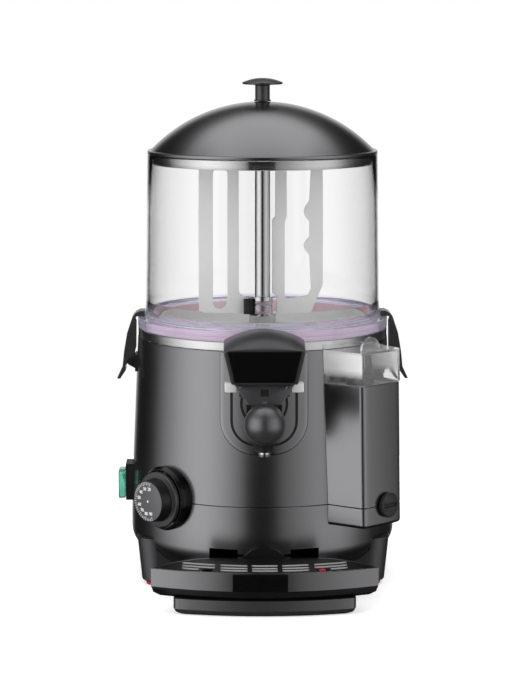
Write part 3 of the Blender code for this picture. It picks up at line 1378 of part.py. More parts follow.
def lower_shell():
    """Belly of the case, with windows for the tray's lugs and vents at the rear."""
    solid = [(0, SEAM_Z), (SEAM_RADIUS, SEAM_Z), (BELLY_RADIUS, BELLY_Z)]
    solid += belly_curve(0) + [(0, BELLY_BOTTOM_Z)]
    shell = turned("lower_shell", solid, AXIS, ring=False)
    join(shell, box_solid("lower_box", 0, BOX_BOTTOM_Z, SEAM_Z))
    hollow = [(0, SEAM_Z + OVERRUN), (SEAM_RADIUS - SHELL_WALL, SEAM_Z + OVERRUN),
              (SEAM_RADIUS - SHELL_WALL, SEAM_Z), (BELLY_RADIUS - SHELL_WALL, BELLY_Z)]
    hollow += belly_curve(-SHELL_WALL) + [(0, BELLY_BOTTOM_Z + SHELL_WALL)]
    cut(shell, turned("lower_hollow", hollow, AXIS, ring=False),
        box_solid("lower_box_hollow", SHELL_WALL, BOX_BOTTOM_Z + SHELL_WALL,
                  SEAM_Z + OVERRUN, POT_RADIUS),
        rod("floor_hole", FLOOR_HOLE_RADIUS, axis_at(BELLY_BOTTOM_Z - OVERRUN),
            axis_at(BELLY_BOTTOM_Z + OVERRUN)))
    for side in (-1, 1):
        cut(shell, block("lug_window", sorted(side * x for x in WINDOW_X),
                         (FLAT_BOTTOM_RADIUS, BELLY_RADIUS + OVERRUN), WINDOW_Z))
    half = VENT_WIDTH / 2
    slots = []
    for x in VENT_X:
        for side in (-1, 1):
            slots.append(slot_outline(side * x - half, side * x + half, *VENT_Z))
    cut(shell, plate("vents", slots, BELLY_RADIUS / 2, FRONT_VIEW, at(0, -BELLY_RADIUS, 0)),
        rod("gland_hole", GLAND_RADIUS + FIT, at(0, -POT_RADIUS, GLAND_Z),
            at(0, -BELLY_RADIUS - OVERRUN, GLAND_Z)))
    return finished(shared_holes(shell), "body")


# Water side: tank, filler ring, clear cover and drain plug.
TANK_WALL = 0.0015
TANK_IN = 0.1235
TANK_TOP_Z = 0.1952
TANK_PIPE_Z = 0.150
TANK_PIPE = 0.005
TANK_PIPE_BORE = 0.0035
COVER_WALL = 0.002
COVER_TOP_Z = 0.228
COVER_TAB_N = BOX_OUT_TOP - 0.0135
COVER_TAB_T = -0.002
COVER_TAB_RADIUS = 0.012
COVER_TAB_THICKNESS = 0.0025
RING_FLANGE = 0.012
RING_TOP = 0.0047
RING_NECK = 0.0087
RING_BORE = 0.0072


def water_tank():
    """Water reservoir inside the side box, piped to the jacket."""
    inset = SHELL_WALL + FIT
    low = BOX_BOTTOM_Z + inset
    tank = box_solid("water_tank", inset, low, TANK_TOP_Z, TANK_IN)
    middle = TANK_IN + TANK_WALL / 2
    join(tank, rod("tank_pipe", TANK_PIPE, box_point(JACKET_RADIUS + FIT, 0, TANK_PIPE_Z),
                   box_point(middle, 0, TANK_PIPE_Z), TINY_STEPS))
    cut(tank, box_solid("tank_hollow", inset + TANK_WALL, low + TANK_WALL,
                        TANK_TOP_Z + OVERRUN, TANK_IN + TANK_WALL),
        rod("tank_pipe_bore", TANK_PIPE_BORE,
            box_point(JACKET_RADIUS - OVERRUN, 0, TANK_PIPE_Z),
            box_point(middle + OVERRUN, 0, TANK_PIPE_Z), TINY_STEPS),
        rod("tank_drain_hole", DRAIN_NECK + FIT,
            box_point(DRAIN_NECK_N, DRAIN_T, DRAIN_Z), box_point(DRAIN_N[1], DRAIN_T, DRAIN_Z)))
    return finished(tank, "white")


def filler_ring():
    foot = BOX_TOP_Z + FIT
    top = foot + RING_TOP
    neck = BOX_TOP_Z - SHELL_WALL - 2 * FIT
    profile = [(RING_FLANGE, top), (RING_FLANGE, foot), (RING_NECK, foot), (RING_NECK, neck),
               (RING_BORE, neck), (RING_BORE, top - SHELL_WALL), (FILLER_HOLE, top)]
    ring = turned("filler_ring", profile, box_point(FILLER_N, FILLER_T, 0), steps=SMALL_STEPS)
    return finished(ring, "black")


def water_cover():
    """Clear lift-off cover over the filler, with a round tab to lift it by."""
    low = BOX_TOP_Z + FIT
    cover = box_solid("water_cover", 0, low, COVER_TOP_Z)
    out = bearing(BOX_BEARING)
    across = bearing(BOX_BEARING + 90)
    view = Matrix((across, UP, across.cross(UP))).transposed()
    stem = [(-COVER_TAB_RADIUS, -COVER_WALL), (COVER_TAB_RADIUS, -COVER_WALL)]
    tab = stem + arc((0, 0), COVER_TAB_RADIUS, 0, 180, 2 * CORNER_STEPS)
    join(cover, plate("cover_tab", [tab], COVER_TAB_THICKNESS, view,
                      axis_at(COVER_TOP_Z - FIT) + out * COVER_TAB_N + across * COVER_TAB_T))
    cut(cover, box_solid("cover_hollow", COVER_WALL, low - OVERRUN, COVER_TOP_Z - COVER_WALL),
        body_envelope("cover_envelope", 2 * FIT))
    return finished(cover, "clear")


def drain_plug():
    """Plug screwed into the side box's foot, with a slot for a coin."""
    low, high = DRAIN_N
    profile = [(0, high), (DRAIN_FLANGE - DRAIN_EDGE, high), (DRAIN_FLANGE, high - DRAIN_EDGE),
               (DRAIN_FLANGE, low), (DRAIN_NECK, low), (DRAIN_NECK, DRAIN_NECK_N),
               (0, DRAIN_NECK_N)]
    out = bearing(BOX_BEARING)
    across = bearing(BOX_BEARING + 90)
    plug = turned("drain_plug", profile, box_point(0, DRAIN_T, DRAIN_Z), out,
                  steps=SMALL_STEPS, ring=False)
    view = Matrix((across, UP, across.cross(UP))).transposed()
    half, narrow = DRAIN_KEY
    key = [(-half, -narrow), (half, -narrow), (half, narrow), (-half, narrow)]
    cut(plug, plate("drain_key", [key], 2 * DRAIN_KEY_DEPTH, view,
                    box_point(high, DRAIN_T, DRAIN_Z)))
    return finished(plug, "trim")


# Thermostat: bezel, knob, spindle and the sensing body.
BEZEL_RADIUS = 0.0297
BEZEL_EDGE_RADIUS = 0.0275
BEZEL_EDGE = 0.1295
BEZEL_OUT = 0.133
KNOB_SKIRT_RADIUS = 0.0256
KNOB_SKIRT = 0.0037
KNOB_GRIP = (0.0198, 0.0190)
KNOB_OUT = 0.149
KNOB_BEVEL = 0.0006
SPINDLE = (0.100, 0.143)
STAT_HALF = (0.018, 0.015)
STAT = (0.085, 0.1185)


def dial_origin():
    return axis_at(DIAL_Z)


def thermostat_bezel():
    hole = SPINDLE_RADIUS + 2 * FIT
    profile = [(BEZEL_EDGE_RADIUS, BEZEL_OUT), (BEZEL_EDGE_RADIUS, BEZEL_EDGE),
               (BEZEL_RADIUS, BEZEL_EDGE), (BEZEL_RADIUS, STAT[1]), (hole, STAT[1]),
               (hole, BEZEL_OUT)]
    bezel = turned("thermostat_bezel", profile, dial_origin(), bearing(DIAL_BEARING),
                   SMALL_STEPS)
    cut(bezel, body_envelope("bezel_envelope", FIT))
    return finished(bezel, "trim")


def dial_knob():
    low = BEZEL_OUT + FIT
    bore = SPINDLE_RADIUS + FIT
    skirt = low + KNOB_SKIRT
    profile = [(0, KNOB_OUT), (KNOB_GRIP[1] - KNOB_BEVEL, KNOB_OUT),
               (KNOB_GRIP[1], KNOB_OUT - KNOB_BEVEL), (KNOB_GRIP[0], skirt),
               (KNOB_SKIRT_RADIUS - KNOB_BEVEL, skirt),
               (KNOB_SKIRT_RADIUS, skirt - KNOB_BEVEL), (KNOB_SKIRT_RADIUS, low), (bore, low),
               (bore, SPINDLE[1] + FIT), (0, SPINDLE[1] + FIT)]
    knob = turned("dial_knob", profile, dial_origin(), bearing(DIAL_BEARING), SMALL_STEPS,
                  ring=False)
    return finished(knob, "body")


def dial_spindle():
    out = bearing(DIAL_BEARING)
    spindle = rod("dial_spindle", SPINDLE_RADIUS, dial_origin() + out * SPINDLE[0],
                  dial_origin() + out * SPINDLE[1])
    return finished(spindle, "steel")


def thermostat_body():
    out = bearing(DIAL_BEARING)
    across = bearing(DIAL_BEARING + 90)
    view = Matrix((across, UP, across.cross(UP))).transposed()
    x, z = STAT_HALF
    outline = [(-x, -z), (x, -z), (x, z), (-x, z)]
    low, high = STAT
    stat = plate("thermostat_body", [outline], high - low, view,
                 dial_origin() + out * (low + high) / 2)
    cut(stat, rod("stat_bore", SPINDLE_RADIUS + FIT,
                  dial_origin() + out * (SPINDLE[0] - FIT), dial_origin() + out * BEZEL_OUT))
    return finished(stat, "white")


# Mains switch on the left side.
SWITCH_FLANGE_HALF = 0.013
SWITCH_FLANGE_Z = (0.070, 0.105)
SWITCH_OUT = 0.1305
SWITCH_BODY_IN = 0.108
SWITCH_CAVITY_HALF = 0.0077
SWITCH_CAVITY_Z = (0.0732, 0.0968)
SWITCH_CAVITY_IN = 0.120
ROCKER_HALF = 0.0072
ROCKER_CENTRE = (0.126, 0.085)
ROCKER_HALF_Z = 0.0093
ROCKER_OUT = 0.0075
ROCKER_IN = 0.004
ROCKER_BOSS = 0.0035
ROCKER_TILT = 6
COVER_OUT = 0.1376
COVER_HALF = 0.0115
COVER_Z = (0.0715, 0.098)
COVER_SHEET = 0.001


def switch_housing():
    housing = block("switch_housing", (-SWITCH_OUT, -POT_RADIUS),
                    (-SWITCH_FLANGE_HALF, SWITCH_FLANGE_HALF), SWITCH_FLANGE_Z)
    cut(housing, body_envelope("switch_envelope", FIT))
    join(housing, block("switch_body", (-SWITCH_OUT + SHELL_WALL, -SWITCH_BODY_IN),
                        (-SWITCH_HALF_DEPTH, SWITCH_HALF_DEPTH), SWITCH_BODY_Z))
    cut(housing, block("switch_cavity", (-SWITCH_OUT - OVERRUN, -SWITCH_CAVITY_IN),
                       (-SWITCH_CAVITY_HALF, SWITCH_CAVITY_HALF), SWITCH_CAVITY_Z))
    return finished(housing, "black")


def rocker():
    """Rocker with a hollowed face, resting at one end of its swing."""
    outer = ROCKER_OUT
    half = ROCKER_HALF_Z
    outline = [(-ROCKER_IN, half / 2), (-ROCKER_IN, -half / 2), (0, -half),
               (outer, -half), (outer - KNOB_BEVEL, -half / 2),
               (outer - 2 * KNOB_BEVEL, 0), (outer - KNOB_BEVEL, half / 2), (outer, half),
               (0, half)]
    turn = math.radians(ROCKER_TILT)
    points = []
    for out, z in outline:
        points.append((-out * math.cos(turn) - z * math.sin(turn),
                       z * math.cos(turn) - out * math.sin(turn)))
    x, z = ROCKER_CENTRE
    piece = plate("rocker", [points], 2 * ROCKER_HALF, FRONT_VIEW, at(-x, 0, z))
    return finished(piece, "switch")


def switch_cover():
    inner = -SWITCH_OUT - FIT
    cover = block("switch_cover", (-COVER_OUT, inner), (-COVER_HALF, COVER_HALF), COVER_Z,
                  COVER_SHEET)
    cut(cover, block("switch_cover_hollow", (-COVER_OUT + COVER_SHEET, inner + OVERRUN),
                     (-COVER_HALF + COVER_SHEET, COVER_HALF - COVER_SHEET),
                     (COVER_Z[0] + COVER_SHEET, COVER_Z[1] - COVER_SHEET)),
        block("switch_cover_edge", (inner - COVER_SHEET, inner + OVERRUN),
              (-COVER_HALF + COVER_SHEET, COVER_HALF - COVER_SHEET),
              (COVER_Z[0] + COVER_SHEET, COVER_Z[1] - COVER_SHEET)))
    return finished(cover, "clear")


# Bowl latches.
LATCH_HALF = 0.010
LATCH_CHEEK = 0.002
LATCH_PIVOT = (0.1245, 0.2035)
LATCH_BOSS = 0.0033
LATCH_PIN = 0.0016
LATCH_PIN_HALF = 0.0134
LATCH_TIP_Z = 0.1868
LATCH_OUTER = ((0.1116, 0.2515), (0.116, 0.2515), (0.120, 0.2495), (0.1232, 0.2455),
               (0.1282, 0.2305), (0.1312, 0.2133), (0.1328, 0.198))
LATCH_INNER = ((0.1351, 0.1868), (0.1296, 0.195), (0.130, 0.199), (0.1286, 0.213),
               (0.1256, 0.230), (0.122, 0.240), (0.120, 0.2452), (0.1188, 0.2464),
               (0.1116, 0.2464))
LATCH_CHEEK_EDGE = ((0.1300, 0.199), (0.1286, 0.213), (0.1256, 0.230), (0.122, 0.240),
                    (0.1205, 0.2435), (0.1198, 0.2400), (0.1202, 0.215), (0.1214, 0.211))
BRACKET_Z_LIMITS = (0.194, 0.210)
BRACKET_OUT = 0.1209
EAR_GAP = 0.0004
EAR_SHEET = 0.0018
EAR_BOSS = 0.0038


def mirrored(side, points):
    """Outline in u (away from the axis) and z, moved to the left or the right side."""
    return [(side * u, z) for u, z in points]


def latch_lever(name, side):
    """Strap hooked over the bowl's flange, with two cheeks back to its pin."""
    strap = list(LATCH_OUTER) + [(LATCH_REACH, LATCH_TIP_Z)] + list(LATCH_INNER)
    lever = plate("latch_lever_" + name, [mirrored(side, strap)], 2 * LATCH_HALF, FRONT_VIEW,
                  AXIS)
    boss = arc(LATCH_PIVOT, LATCH_BOSS, 150, 330, 2 * CORNER_STEPS)
    share = LATCH_CHEEK / 4
    cheek = [(u + share, z) for u, z in LATCH_CHEEK_EDGE[:5]] + list(LATCH_CHEEK_EDGE[5:])
    for d in (-LATCH_HALF + LATCH_CHEEK / 2, LATCH_HALF - LATCH_CHEEK / 2):
        join(lever, plate("latch_cheek", [mirrored(side, cheek + boss)], LATCH_CHEEK,
                          FRONT_VIEW, at(0, d, 0)))
    u, z = LATCH_PIVOT
    cut(lever, rod("latch_hole", LATCH_PIN + FIT, at(side * u, -LATCH_PIN_HALF, z),
                   at(side * u, LATCH_PIN_HALF, z), TINY_STEPS))
    return finished(lever, "trim")


def latch_bracket(name, side):
    """Plate on the shell with two ears and the pin that the latch turns on."""
    outer = LATCH_HALF + EAR_GAP + EAR_SHEET
    bracket = block("latch_bracket_" + name,
                    sorted(side * u for u in (POT_RADIUS, BRACKET_OUT)), (-outer, outer),
                    BRACKET_Z_LIMITS)
    u, z = LATCH_PIVOT
    ear = [(BRACKET_OUT - SHELL_WALL, BRACKET_Z_LIMITS[1])]
    ear += arc(LATCH_PIVOT, EAR_BOSS, 60, -60, 2 * CORNER_STEPS)
    ear.append((BRACKET_OUT - SHELL_WALL, BRACKET_Z_LIMITS[0] + EAR_BOSS / 2))
    for d in (-outer + EAR_SHEET / 2, outer - EAR_SHEET / 2):
        join(bracket, plate("latch_ear", [mirrored(side, ear)], EAR_SHEET, FRONT_VIEW,
                            at(0, d, 0)))
    cut(bracket, body_envelope("latch_envelope", FIT))
    join(bracket, rod("latch_pin", LATCH_PIN, at(side * u, -LATCH_PIN_HALF, z),
                      at(side * u, LATCH_PIN_HALF, z), TINY_STEPS))
    return finished(bracket, "black")


# Small inner and rear pieces.
TERMINAL_HALF = 0.020
TERMINAL_D = (-0.070, -0.054)
TERMINAL_HEIGHT = 0.015
TERMINAL_BEVEL = 0.0012
GLAND_FLANGE = 0.010
GLAND_BORE = 0.0035
GLAND_IN = 0.117


def terminal_block():
    low = BELLY_BOTTOM_Z + SHELL_WALL + FIT
    piece = block("terminal_block", (-TERMINAL_HALF, TERMINAL_HALF), TERMINAL_D,
                  (low, low + TERMINAL_HEIGHT), TERMINAL_BEVEL)
    return finished(piece, "white")


def cord_gland():
    flange = BELLY_RADIUS + FIT
    profile = [(GLAND_RADIUS, REAR_REACH), (GLAND_FLANGE, REAR_REACH - TERMINAL_BEVEL),
               (GLAND_FLANGE, flange), (GLAND_RADIUS, flange), (GLAND_RADIUS, GLAND_IN),
               (GLAND_BORE, GLAND_IN), (GLAND_BORE, REAR_REACH)]
    gland = turned("cord_gland", profile, axis_at(GLAND_Z), bearing(180), steps=SMALL_STEPS)
    return finished(gland, "black")


# Fixed pieces.
base_frame()
base_cover()
feet()
front_foot()
lower_shell()
upper_shell()
steel_pot()
water_jacket()
heater_coil()
motor_bracket()
gear_motor()
thermostat_body()
thermostat_bezel()
switch_housing()
switch_cover()
terminal_block()
cord_gland()
tap_plate()
tap_body()
spout_tip()
tap_hood()
hood_panel()
pivot_pin()
pin_caps()
bowl_gasket()
bowl()
water_tank()
filler_ring()

# Moving pieces, each set on an empty that stands on its joint.
carry(pivot("mixer_axis", axis_at(SHAFT_TOP_Z)), drive_shaft(), stirrer_hub(),
      stirrer_column(), paddle_left(), paddle_right(), pot_scraper())
carry(pivot("lid_slide", axis_at(LID_RIM_Z)), lid_dome(), lid_band(), lid_knob())
carry(pivot("tap_axis", at(0, PIVOT_D, PIVOT_Z)), tap_lever(), ball_knob())
carry(pivot("valve_slide", at(0, TAP_D, PISTON_TOP_Z)), valve_piston(), return_spring())
for latch_name, latch_side in (("left", -1), ("right", 1)):
    latch_bracket(latch_name, latch_side)
    latch_place = at(latch_side * LATCH_PIVOT[0], 0, LATCH_PIVOT[1])
    carry(pivot("latch_axis_" + latch_name, latch_place), latch_lever(latch_name, latch_side))
carry(pivot("dial_axis", dial_origin() + bearing(DIAL_BEARING) * BEZEL_OUT), dial_knob(),
      dial_spindle())
carry(pivot("rocker_axis", at(-ROCKER_CENTRE[0], 0, ROCKER_CENTRE[1])), rocker())
carry(pivot("tray_slide", at(0, TRAY_REAR, TRAY_BOTTOM_Z)), drip_tray(), tray_label(),
      drip_grille(), tray_float())
carry(pivot("cover_slide", box_point(COVER_TAB_N, 0, BOX_TOP_Z)), water_cover())
carry(pivot("drain_axis", box_point(DRAIN_N[0], DRAIN_T, DRAIN_Z)), drain_plug())
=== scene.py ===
# %% [markdown]
# # A hot chocolate dispenser, dressed
# The construction model already exists as a frame of solids with joints. This lesson puts the
# looks on it: smooth skins worked out as whole arrays of points, and finishes made of nodes.
# The frame's own solids are never moved. A finer piece stands in for a solid by name.

# %% Load the frame
import json
import math

import bmesh
import bpy
import numpy as np
from mathutils import Matrix, Vector

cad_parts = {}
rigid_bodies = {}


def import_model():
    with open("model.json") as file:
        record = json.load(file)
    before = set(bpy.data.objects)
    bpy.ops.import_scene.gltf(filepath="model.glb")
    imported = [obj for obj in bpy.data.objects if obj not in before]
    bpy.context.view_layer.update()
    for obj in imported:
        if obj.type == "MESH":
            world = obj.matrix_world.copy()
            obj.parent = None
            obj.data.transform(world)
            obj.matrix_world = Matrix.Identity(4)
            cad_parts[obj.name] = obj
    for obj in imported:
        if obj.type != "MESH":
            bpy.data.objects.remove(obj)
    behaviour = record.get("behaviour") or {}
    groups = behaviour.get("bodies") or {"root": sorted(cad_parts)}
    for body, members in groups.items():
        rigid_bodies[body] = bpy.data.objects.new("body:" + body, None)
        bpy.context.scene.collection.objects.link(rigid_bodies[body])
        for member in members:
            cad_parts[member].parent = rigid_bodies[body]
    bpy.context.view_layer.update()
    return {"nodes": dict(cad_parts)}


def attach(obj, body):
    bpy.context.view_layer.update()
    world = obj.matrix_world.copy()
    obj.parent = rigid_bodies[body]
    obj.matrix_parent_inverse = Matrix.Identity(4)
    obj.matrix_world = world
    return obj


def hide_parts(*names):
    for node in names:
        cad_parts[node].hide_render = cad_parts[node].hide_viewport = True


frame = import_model()

# %% [markdown]
# ## Sizes that the pieces share
# Lengths are metres. A place is (x, d, z): x to the machine's right, d how far before its
# upright axis, z above the counter. The numbers repeat the construction model's.

# %% Shared sizes
AXIS_Y = 0.031
HEIGHT = 0.470
BODY_TOP_Z, BODY_TOP_R = 0.228, 0.118
SEAM_Z, SEAM_R = 0.086, 0.1244
BELLY_Z, BELLY_R = 0.060, 0.125
SHOULDER_Z, FLOOR_Z, FLOOR_R = 0.045, 0.0155, 0.080
WALL = 0.0025
AROUND = 288


def spot(x, d, z):
    """Places as an array of rows: (x, the axis minus d, z)."""
    x, d, z = np.broadcast_arrays(np.float64(x), np.float64(d), np.float64(z))
    return np.stack([x, AXIS_Y - d, z], axis=-1)


def out_from(degrees):
    """Level unit vector at a bearing, turned from the front towards the right."""
    turn = math.radians(degrees)
    return np.array([math.sin(turn), -math.cos(turn), 0.0])


print("body:", BODY_TOP_R * 2000, "mm across at the top,", HEIGHT * 1000, "mm high in all")

# %% [markdown]
# ## A skin over rows of points
# Most of the machine is turned, drawn or moulded, so each surface is a grid: rows of points,
# each row a closed loop. Neighbouring rows are joined by quads. The first and last rows are
# either joined to each other, which makes a ring, or closed by a face of their own.

# %% The skin helper
def sharp_after(mesh, degrees):
    """Shades smooth, but keeps an edge hard where its faces meet at more than the angle."""
    mesh.shade_smooth()
    mesh.set_sharp_from_angle(angle=math.radians(degrees))
    return mesh


def skin(name, rows, ring=False, smooth=40):
    """Closed surface over rows shaped (rows, columns, 3).

    Point (i, j) joins (i, j + 1), (i + 1, j + 1) and (i + 1, j), and columns wrap round."""
    rows = np.asarray(rows, dtype=np.float64)
    count, wide = rows.shape[:2]
    i = np.arange(count if ring else count - 1)[:, None]
    j = np.arange(wide)[None, :]
    next_i, next_j = (i + 1) % count, (j + 1) % wide
    quads = np.stack([i * wide + j, i * wide + next_j, next_i * wide + next_j,
                      next_i * wide + j], axis=-1).reshape(-1, 4).tolist()
    if not ring:
        quads += [list(range(wide))[::-1], list(range((count - 1) * wide, count * wide))]
    mesh = bpy.data.meshes.new(name)
    mesh.from_pydata(rows.reshape(-1, 3).tolist(), [], quads)
    return added(name, tidy(mesh), smooth)


def tidy(mesh):
    """Merges points that coincide, drops faces without area and turns the faces outwards."""
    build = bmesh.new()
    build.from_mesh(mesh)
    bmesh.ops.remove_doubles(build, verts=build.verts, dist=1e-6)
    bmesh.ops.dissolve_degenerate(build, edges=build.edges, dist=1e-7)
    bmesh.ops.recalc_face_normals(build, faces=build.faces)
    build.to_mesh(mesh)
    build.free()
    return mesh


def added(name, mesh, smooth=40):
    piece = bpy.data.objects.new(name, sharp_after(mesh, smooth))
    bpy.context.scene.collection.objects.link(piece)
    return piece


# %% [markdown]
# ## Corners with a radius
# Nothing moulded or pressed has a knife edge, and it is the thin highlight along a rounded
# edge that tells the eye how large the piece is. A profile is drawn with sharp corners first,
# and each corner is then swapped for an arc that touches both of its sides.

# %% Rounded corners and loops
def softened(points, radii, closed=True, steps=5):
    """Polyline whose corners become arcs: each arc starts radius / tan(half angle) before
    the corner, and its centre lies radius / sin(half angle) along the corner's bisector."""
    points = np.asarray(points, dtype=np.float64)
    radii = np.broadcast_to(np.float64(radii), len(points)).copy()
    if not closed:
        radii[[0, -1]] = 0
    before = np.roll(points, 1, axis=0) - points
    after = np.roll(points, -1, axis=0) - points
    before /= np.maximum(np.linalg.norm(before, axis=1, keepdims=True), 1e-12)
    after /= np.maximum(np.linalg.norm(after, axis=1, keepdims=True), 1e-12)
    half = np.arccos(np.clip((before * after).sum(1), -1, 1)) / 2
    loop = []
    for k, radius in enumerate(radii):
        if radius <= 0 or half[k] > 1.56:
            loop.append(points[k][None])
            continue
        middle = before[k] + after[k]
        centre = points[k] + middle / np.linalg.norm(middle) * radius / math.sin(half[k])
        start = points[k] + before[k] * radius / math.tan(half[k]) - centre
        end = points[k] + after[k] * radius / math.tan(half[k]) - centre
        sweep = math.pi - 2 * half[k]
        share = np.linspace(0, 1, steps + 1)[:, None]
        arc = (np.sin((1 - share) * sweep) * start + np.sin(share * sweep) * end)
        loop.append(centre + arc / math.sin(sweep))
    return np.concatenate(loop)


def turned(name, profile, centre=(0, 0), axis=None, radii=0.0004, ring=True, steps=AROUND,
           smooth=40):
    """Solid of revolution: point = centre + height * axis + radius * (cos a, sin a) in the
    plane square to the axis. centre is (x, d), or a place where an axis is given."""
    profile = softened(profile, radii, closed=ring)
    angle = np.linspace(0, 2 * np.pi, steps, endpoint=False)
    if axis is None:
        origin, axis = spot(centre[0], centre[1], 0), np.array([0.0, 0, 1])
        side, lift = np.array([1.0, 0, 0]), np.array([0, 1.0, 0])
    else:
        origin = np.asarray(centre, dtype=np.float64)
        side = np.cross([0, 0, 1.0], axis)
        side /= np.linalg.norm(side)
        lift = np.cross(axis, side)
    circle = np.cos(angle)[:, None] * side + np.sin(angle)[:, None] * lift
    rows = (origin + profile[:, 1, None, None] * axis
            + np.maximum(profile[:, 0], 1e-5)[:, None, None] * circle)
    return skin(name, rows, ring, smooth)


# %% [markdown]
# ## Using a solid's own mesh
# Pieces with flat sides and holes, such as a paddle or the grille, already have the right
# shape in the frame. A copy is welded, its flat triangles are merged into whole faces, and a
# bevel rounds the edges. That keeps every hole where the joints need it.

# %% Ease the edges of a solid
def eased(node, width=0.0005, segments=3, angle=35, smooth=35):
    """Copy of a node's mesh with bevelled edges, which replaces the node."""
    mesh = frame["nodes"][node].data.copy()
    build = bmesh.new()
    build.from_mesh(mesh)
    bmesh.ops.remove_doubles(build, verts=build.verts, dist=2e-6)
    bmesh.ops.dissolve_limit(build, angle_limit=math.radians(0.6), verts=build.verts,
                             edges=build.edges)
    build.to_mesh(mesh)
    build.free()
    piece = added(node + "_skin", mesh, smooth)
    if width:
        bevel = piece.modifiers.new("Eased edges", "BEVEL")
        bevel.width = width
        bevel.segments = segments
        bevel.limit_method = "ANGLE"
        bevel.angle_limit = math.radians(angle)
        bevel.harden_normals = True
    return piece


def dress(piece, node, body, finish):
    """Gives a piece its finish, its body and the node that it stands for."""
    piece.data.materials.clear()
    piece.data.materials.append(finish)
    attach(piece, body)
    if node:
        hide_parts(*([node] if isinstance(node, str) else node))
    return piece


# %% [markdown]
# ## Finishes
# Each finish starts from what the real surface is: lacquered steel sheet, spark-textured ABS,
# deep-drawn stainless steel, polycarbonate, silicone. Colours are written as the hex values
# a screen shows, and one function turns them to the linear values that light is worked out in.

# %% Colour and node helpers
def linear(hex_colour):
    """sRGB to linear: v / 12.92 below 0.04045, else ((v + 0.055) / 1.055) ** 2.4."""
    v = np.array([int(hex_colour[k:k + 2], 16) / 255 for k in (0, 2, 4)])
    return (*np.where(v <= 0.04045, v / 12.92, ((v + 0.055) / 1.055) ** 2.4), 1.0)


def add(tree, kind, inputs=None, **settings):
    """Adds a node, sets its properties, and fills or links its inputs."""
    made = tree.nodes.new(kind)
    for key, value in settings.items():
        setattr(made, key, value)
    for key, value in (inputs or {}).items():
        if isinstance(value, bpy.types.NodeSocket):
            tree.links.new(value, made.inputs[key])
        else:
            made.inputs[key].default_value = value
    return made


def blank(name, **values):
    """Material with its Principled shader, whose plain values are set on its sockets."""
    made = bpy.data.materials.new(name)
    made.use_nodes = True
    shader = made.node_tree.nodes["Principled BSDF"]
    for key, value in values.items():
        shader.inputs[key.replace("_", " ")].default_value = value
    return made, made.node_tree, shader


def grained(name, low, high, grain_mm, bump_mm, rough, spread=0.05, **values):
    """Surface whose colour and gloss wander a little and whose grain has a real size.

    Noise at 1000 / grain cells a metre drives the bump, and one ten times coarser drives
    the colour between two hex values and the roughness between rough -/+ spread."""
    made, tree, shader = blank(name, **values)
    place = add(tree, "ShaderNodeTexCoord").outputs["Object"]
    fine = add(tree, "ShaderNodeTexNoise",
               {"Vector": place, "Scale": 1000 / grain_mm, "Detail": 3.0})
    wide = add(tree, "ShaderNodeTexNoise", {"Vector": place, "Scale": 28.0, "Detail": 4.0})
    tint = add(tree, "ShaderNodeMix", {"Factor": wide.outputs["Fac"]}, data_type="RGBA")
    tint.inputs["A"].default_value = linear(low)
    tint.inputs["B"].default_value = linear(high)
    gloss = add(tree, "ShaderNodeMapRange",
                {"Value": wide.outputs["Fac"], "From Min": 0.3, "From Max": 0.7,
                 "To Min": rough - spread, "To Max": rough + spread})
    relief = add(tree, "ShaderNodeBump", {"Height": fine.outputs["Fac"], "Strength": 0.6,
                                          "Distance": bump_mm / 1000})
    tree.links.new(tint.outputs["Result"], shader.inputs["Base Color"])
    tree.links.new(gloss.outputs["Result"], shader.inputs["Roughness"])
    tree.links.new(relief.outputs["Normal"], shader.inputs["Normal"])
    return made


# %% [markdown]
# The case is steel sheet with a graphite lacquer that holds fine metal flake, so it shines
# like a dull metal and darkens where nothing bright stands opposite. The trim is moulded ABS
# with a spark-eroded grain of about half a millimetre.

# %% Opaque finishes
LACQUER = grained("graphite_flake_lacquer", "929294", "979799", 0.5, 0.0012, 0.24, 0.015,
                  Metallic=1.0)
PAINTED = grained("graphite_painted_abs", "77777a", "7d7d80", 0.5, 0.003, 0.30, 0.02,
                  Metallic=0.9)
SATIN = grained("satin_graphite_abs", "58585a", "5e5e60", 0.7, 0.004, 0.32, 0.03,
                Metallic=0.8)
TRIM = grained("spark_textured_abs", "1b1b1d", "202022", 0.6, 0.01, 0.36, 0.04, IOR=1.54)
BLACK = grained("black_nylon", "0f0f10", "141415", 0.6, 0.01, 0.45, 0.04, IOR=1.53)
GLOSS = grained("black_gloss_acrylic", "070708", "09090a", 2.0, 0.0005, 0.07, 0.02, IOR=1.49)
NYLON = grained("white_nylon", "cfd0cf", "dcdcdb", 0.8, 0.02, 0.5, 0.04, IOR=1.53)
PADDLE = grained("milky_polypropylene", "d4d5d4", "dcdddc", 1.2, 0.01, 0.45, 0.03,
                 IOR=1.49)
GASKET = grained("pink_silicone", "c97f9b", "fbf4f7", 1.0, 0.02, 0.40, 0.05, IOR=1.41)
RUBBER = grained("red_rubber", "b5203a", "c22b45", 0.8, 0.03, 0.6, 0.05, IOR=1.5)
CASTING = grained("cast_aluminium", "8b8d90", "9a9c9f", 1.2, 0.05, 0.5, 0.06, Metallic=1.0)
ENAMEL = grained("black_enamel", "0a0a0b", "0f0f10", 0.6, 0.01, 0.42, 0.04,
                 Specular_IOR_Level=0.25)
# Light grey for the grille slots' walls that face the front: a painted highlight.
SLOT_HIGHLIGHT = grained("painted_slot_highlight", "b4b4b4", "c8c8c8", 0.6, 0.01, 0.4, 0.04)
print("opaque finishes made")

# %% [markdown]
# Stainless steel is rolled or drawn, which leaves faint lines one way. Stretching the noise
# sixty to one gives those lines. Polycarbonate bends light strongly, and its thick edges
# look violet because the faint tint adds up along the wall.

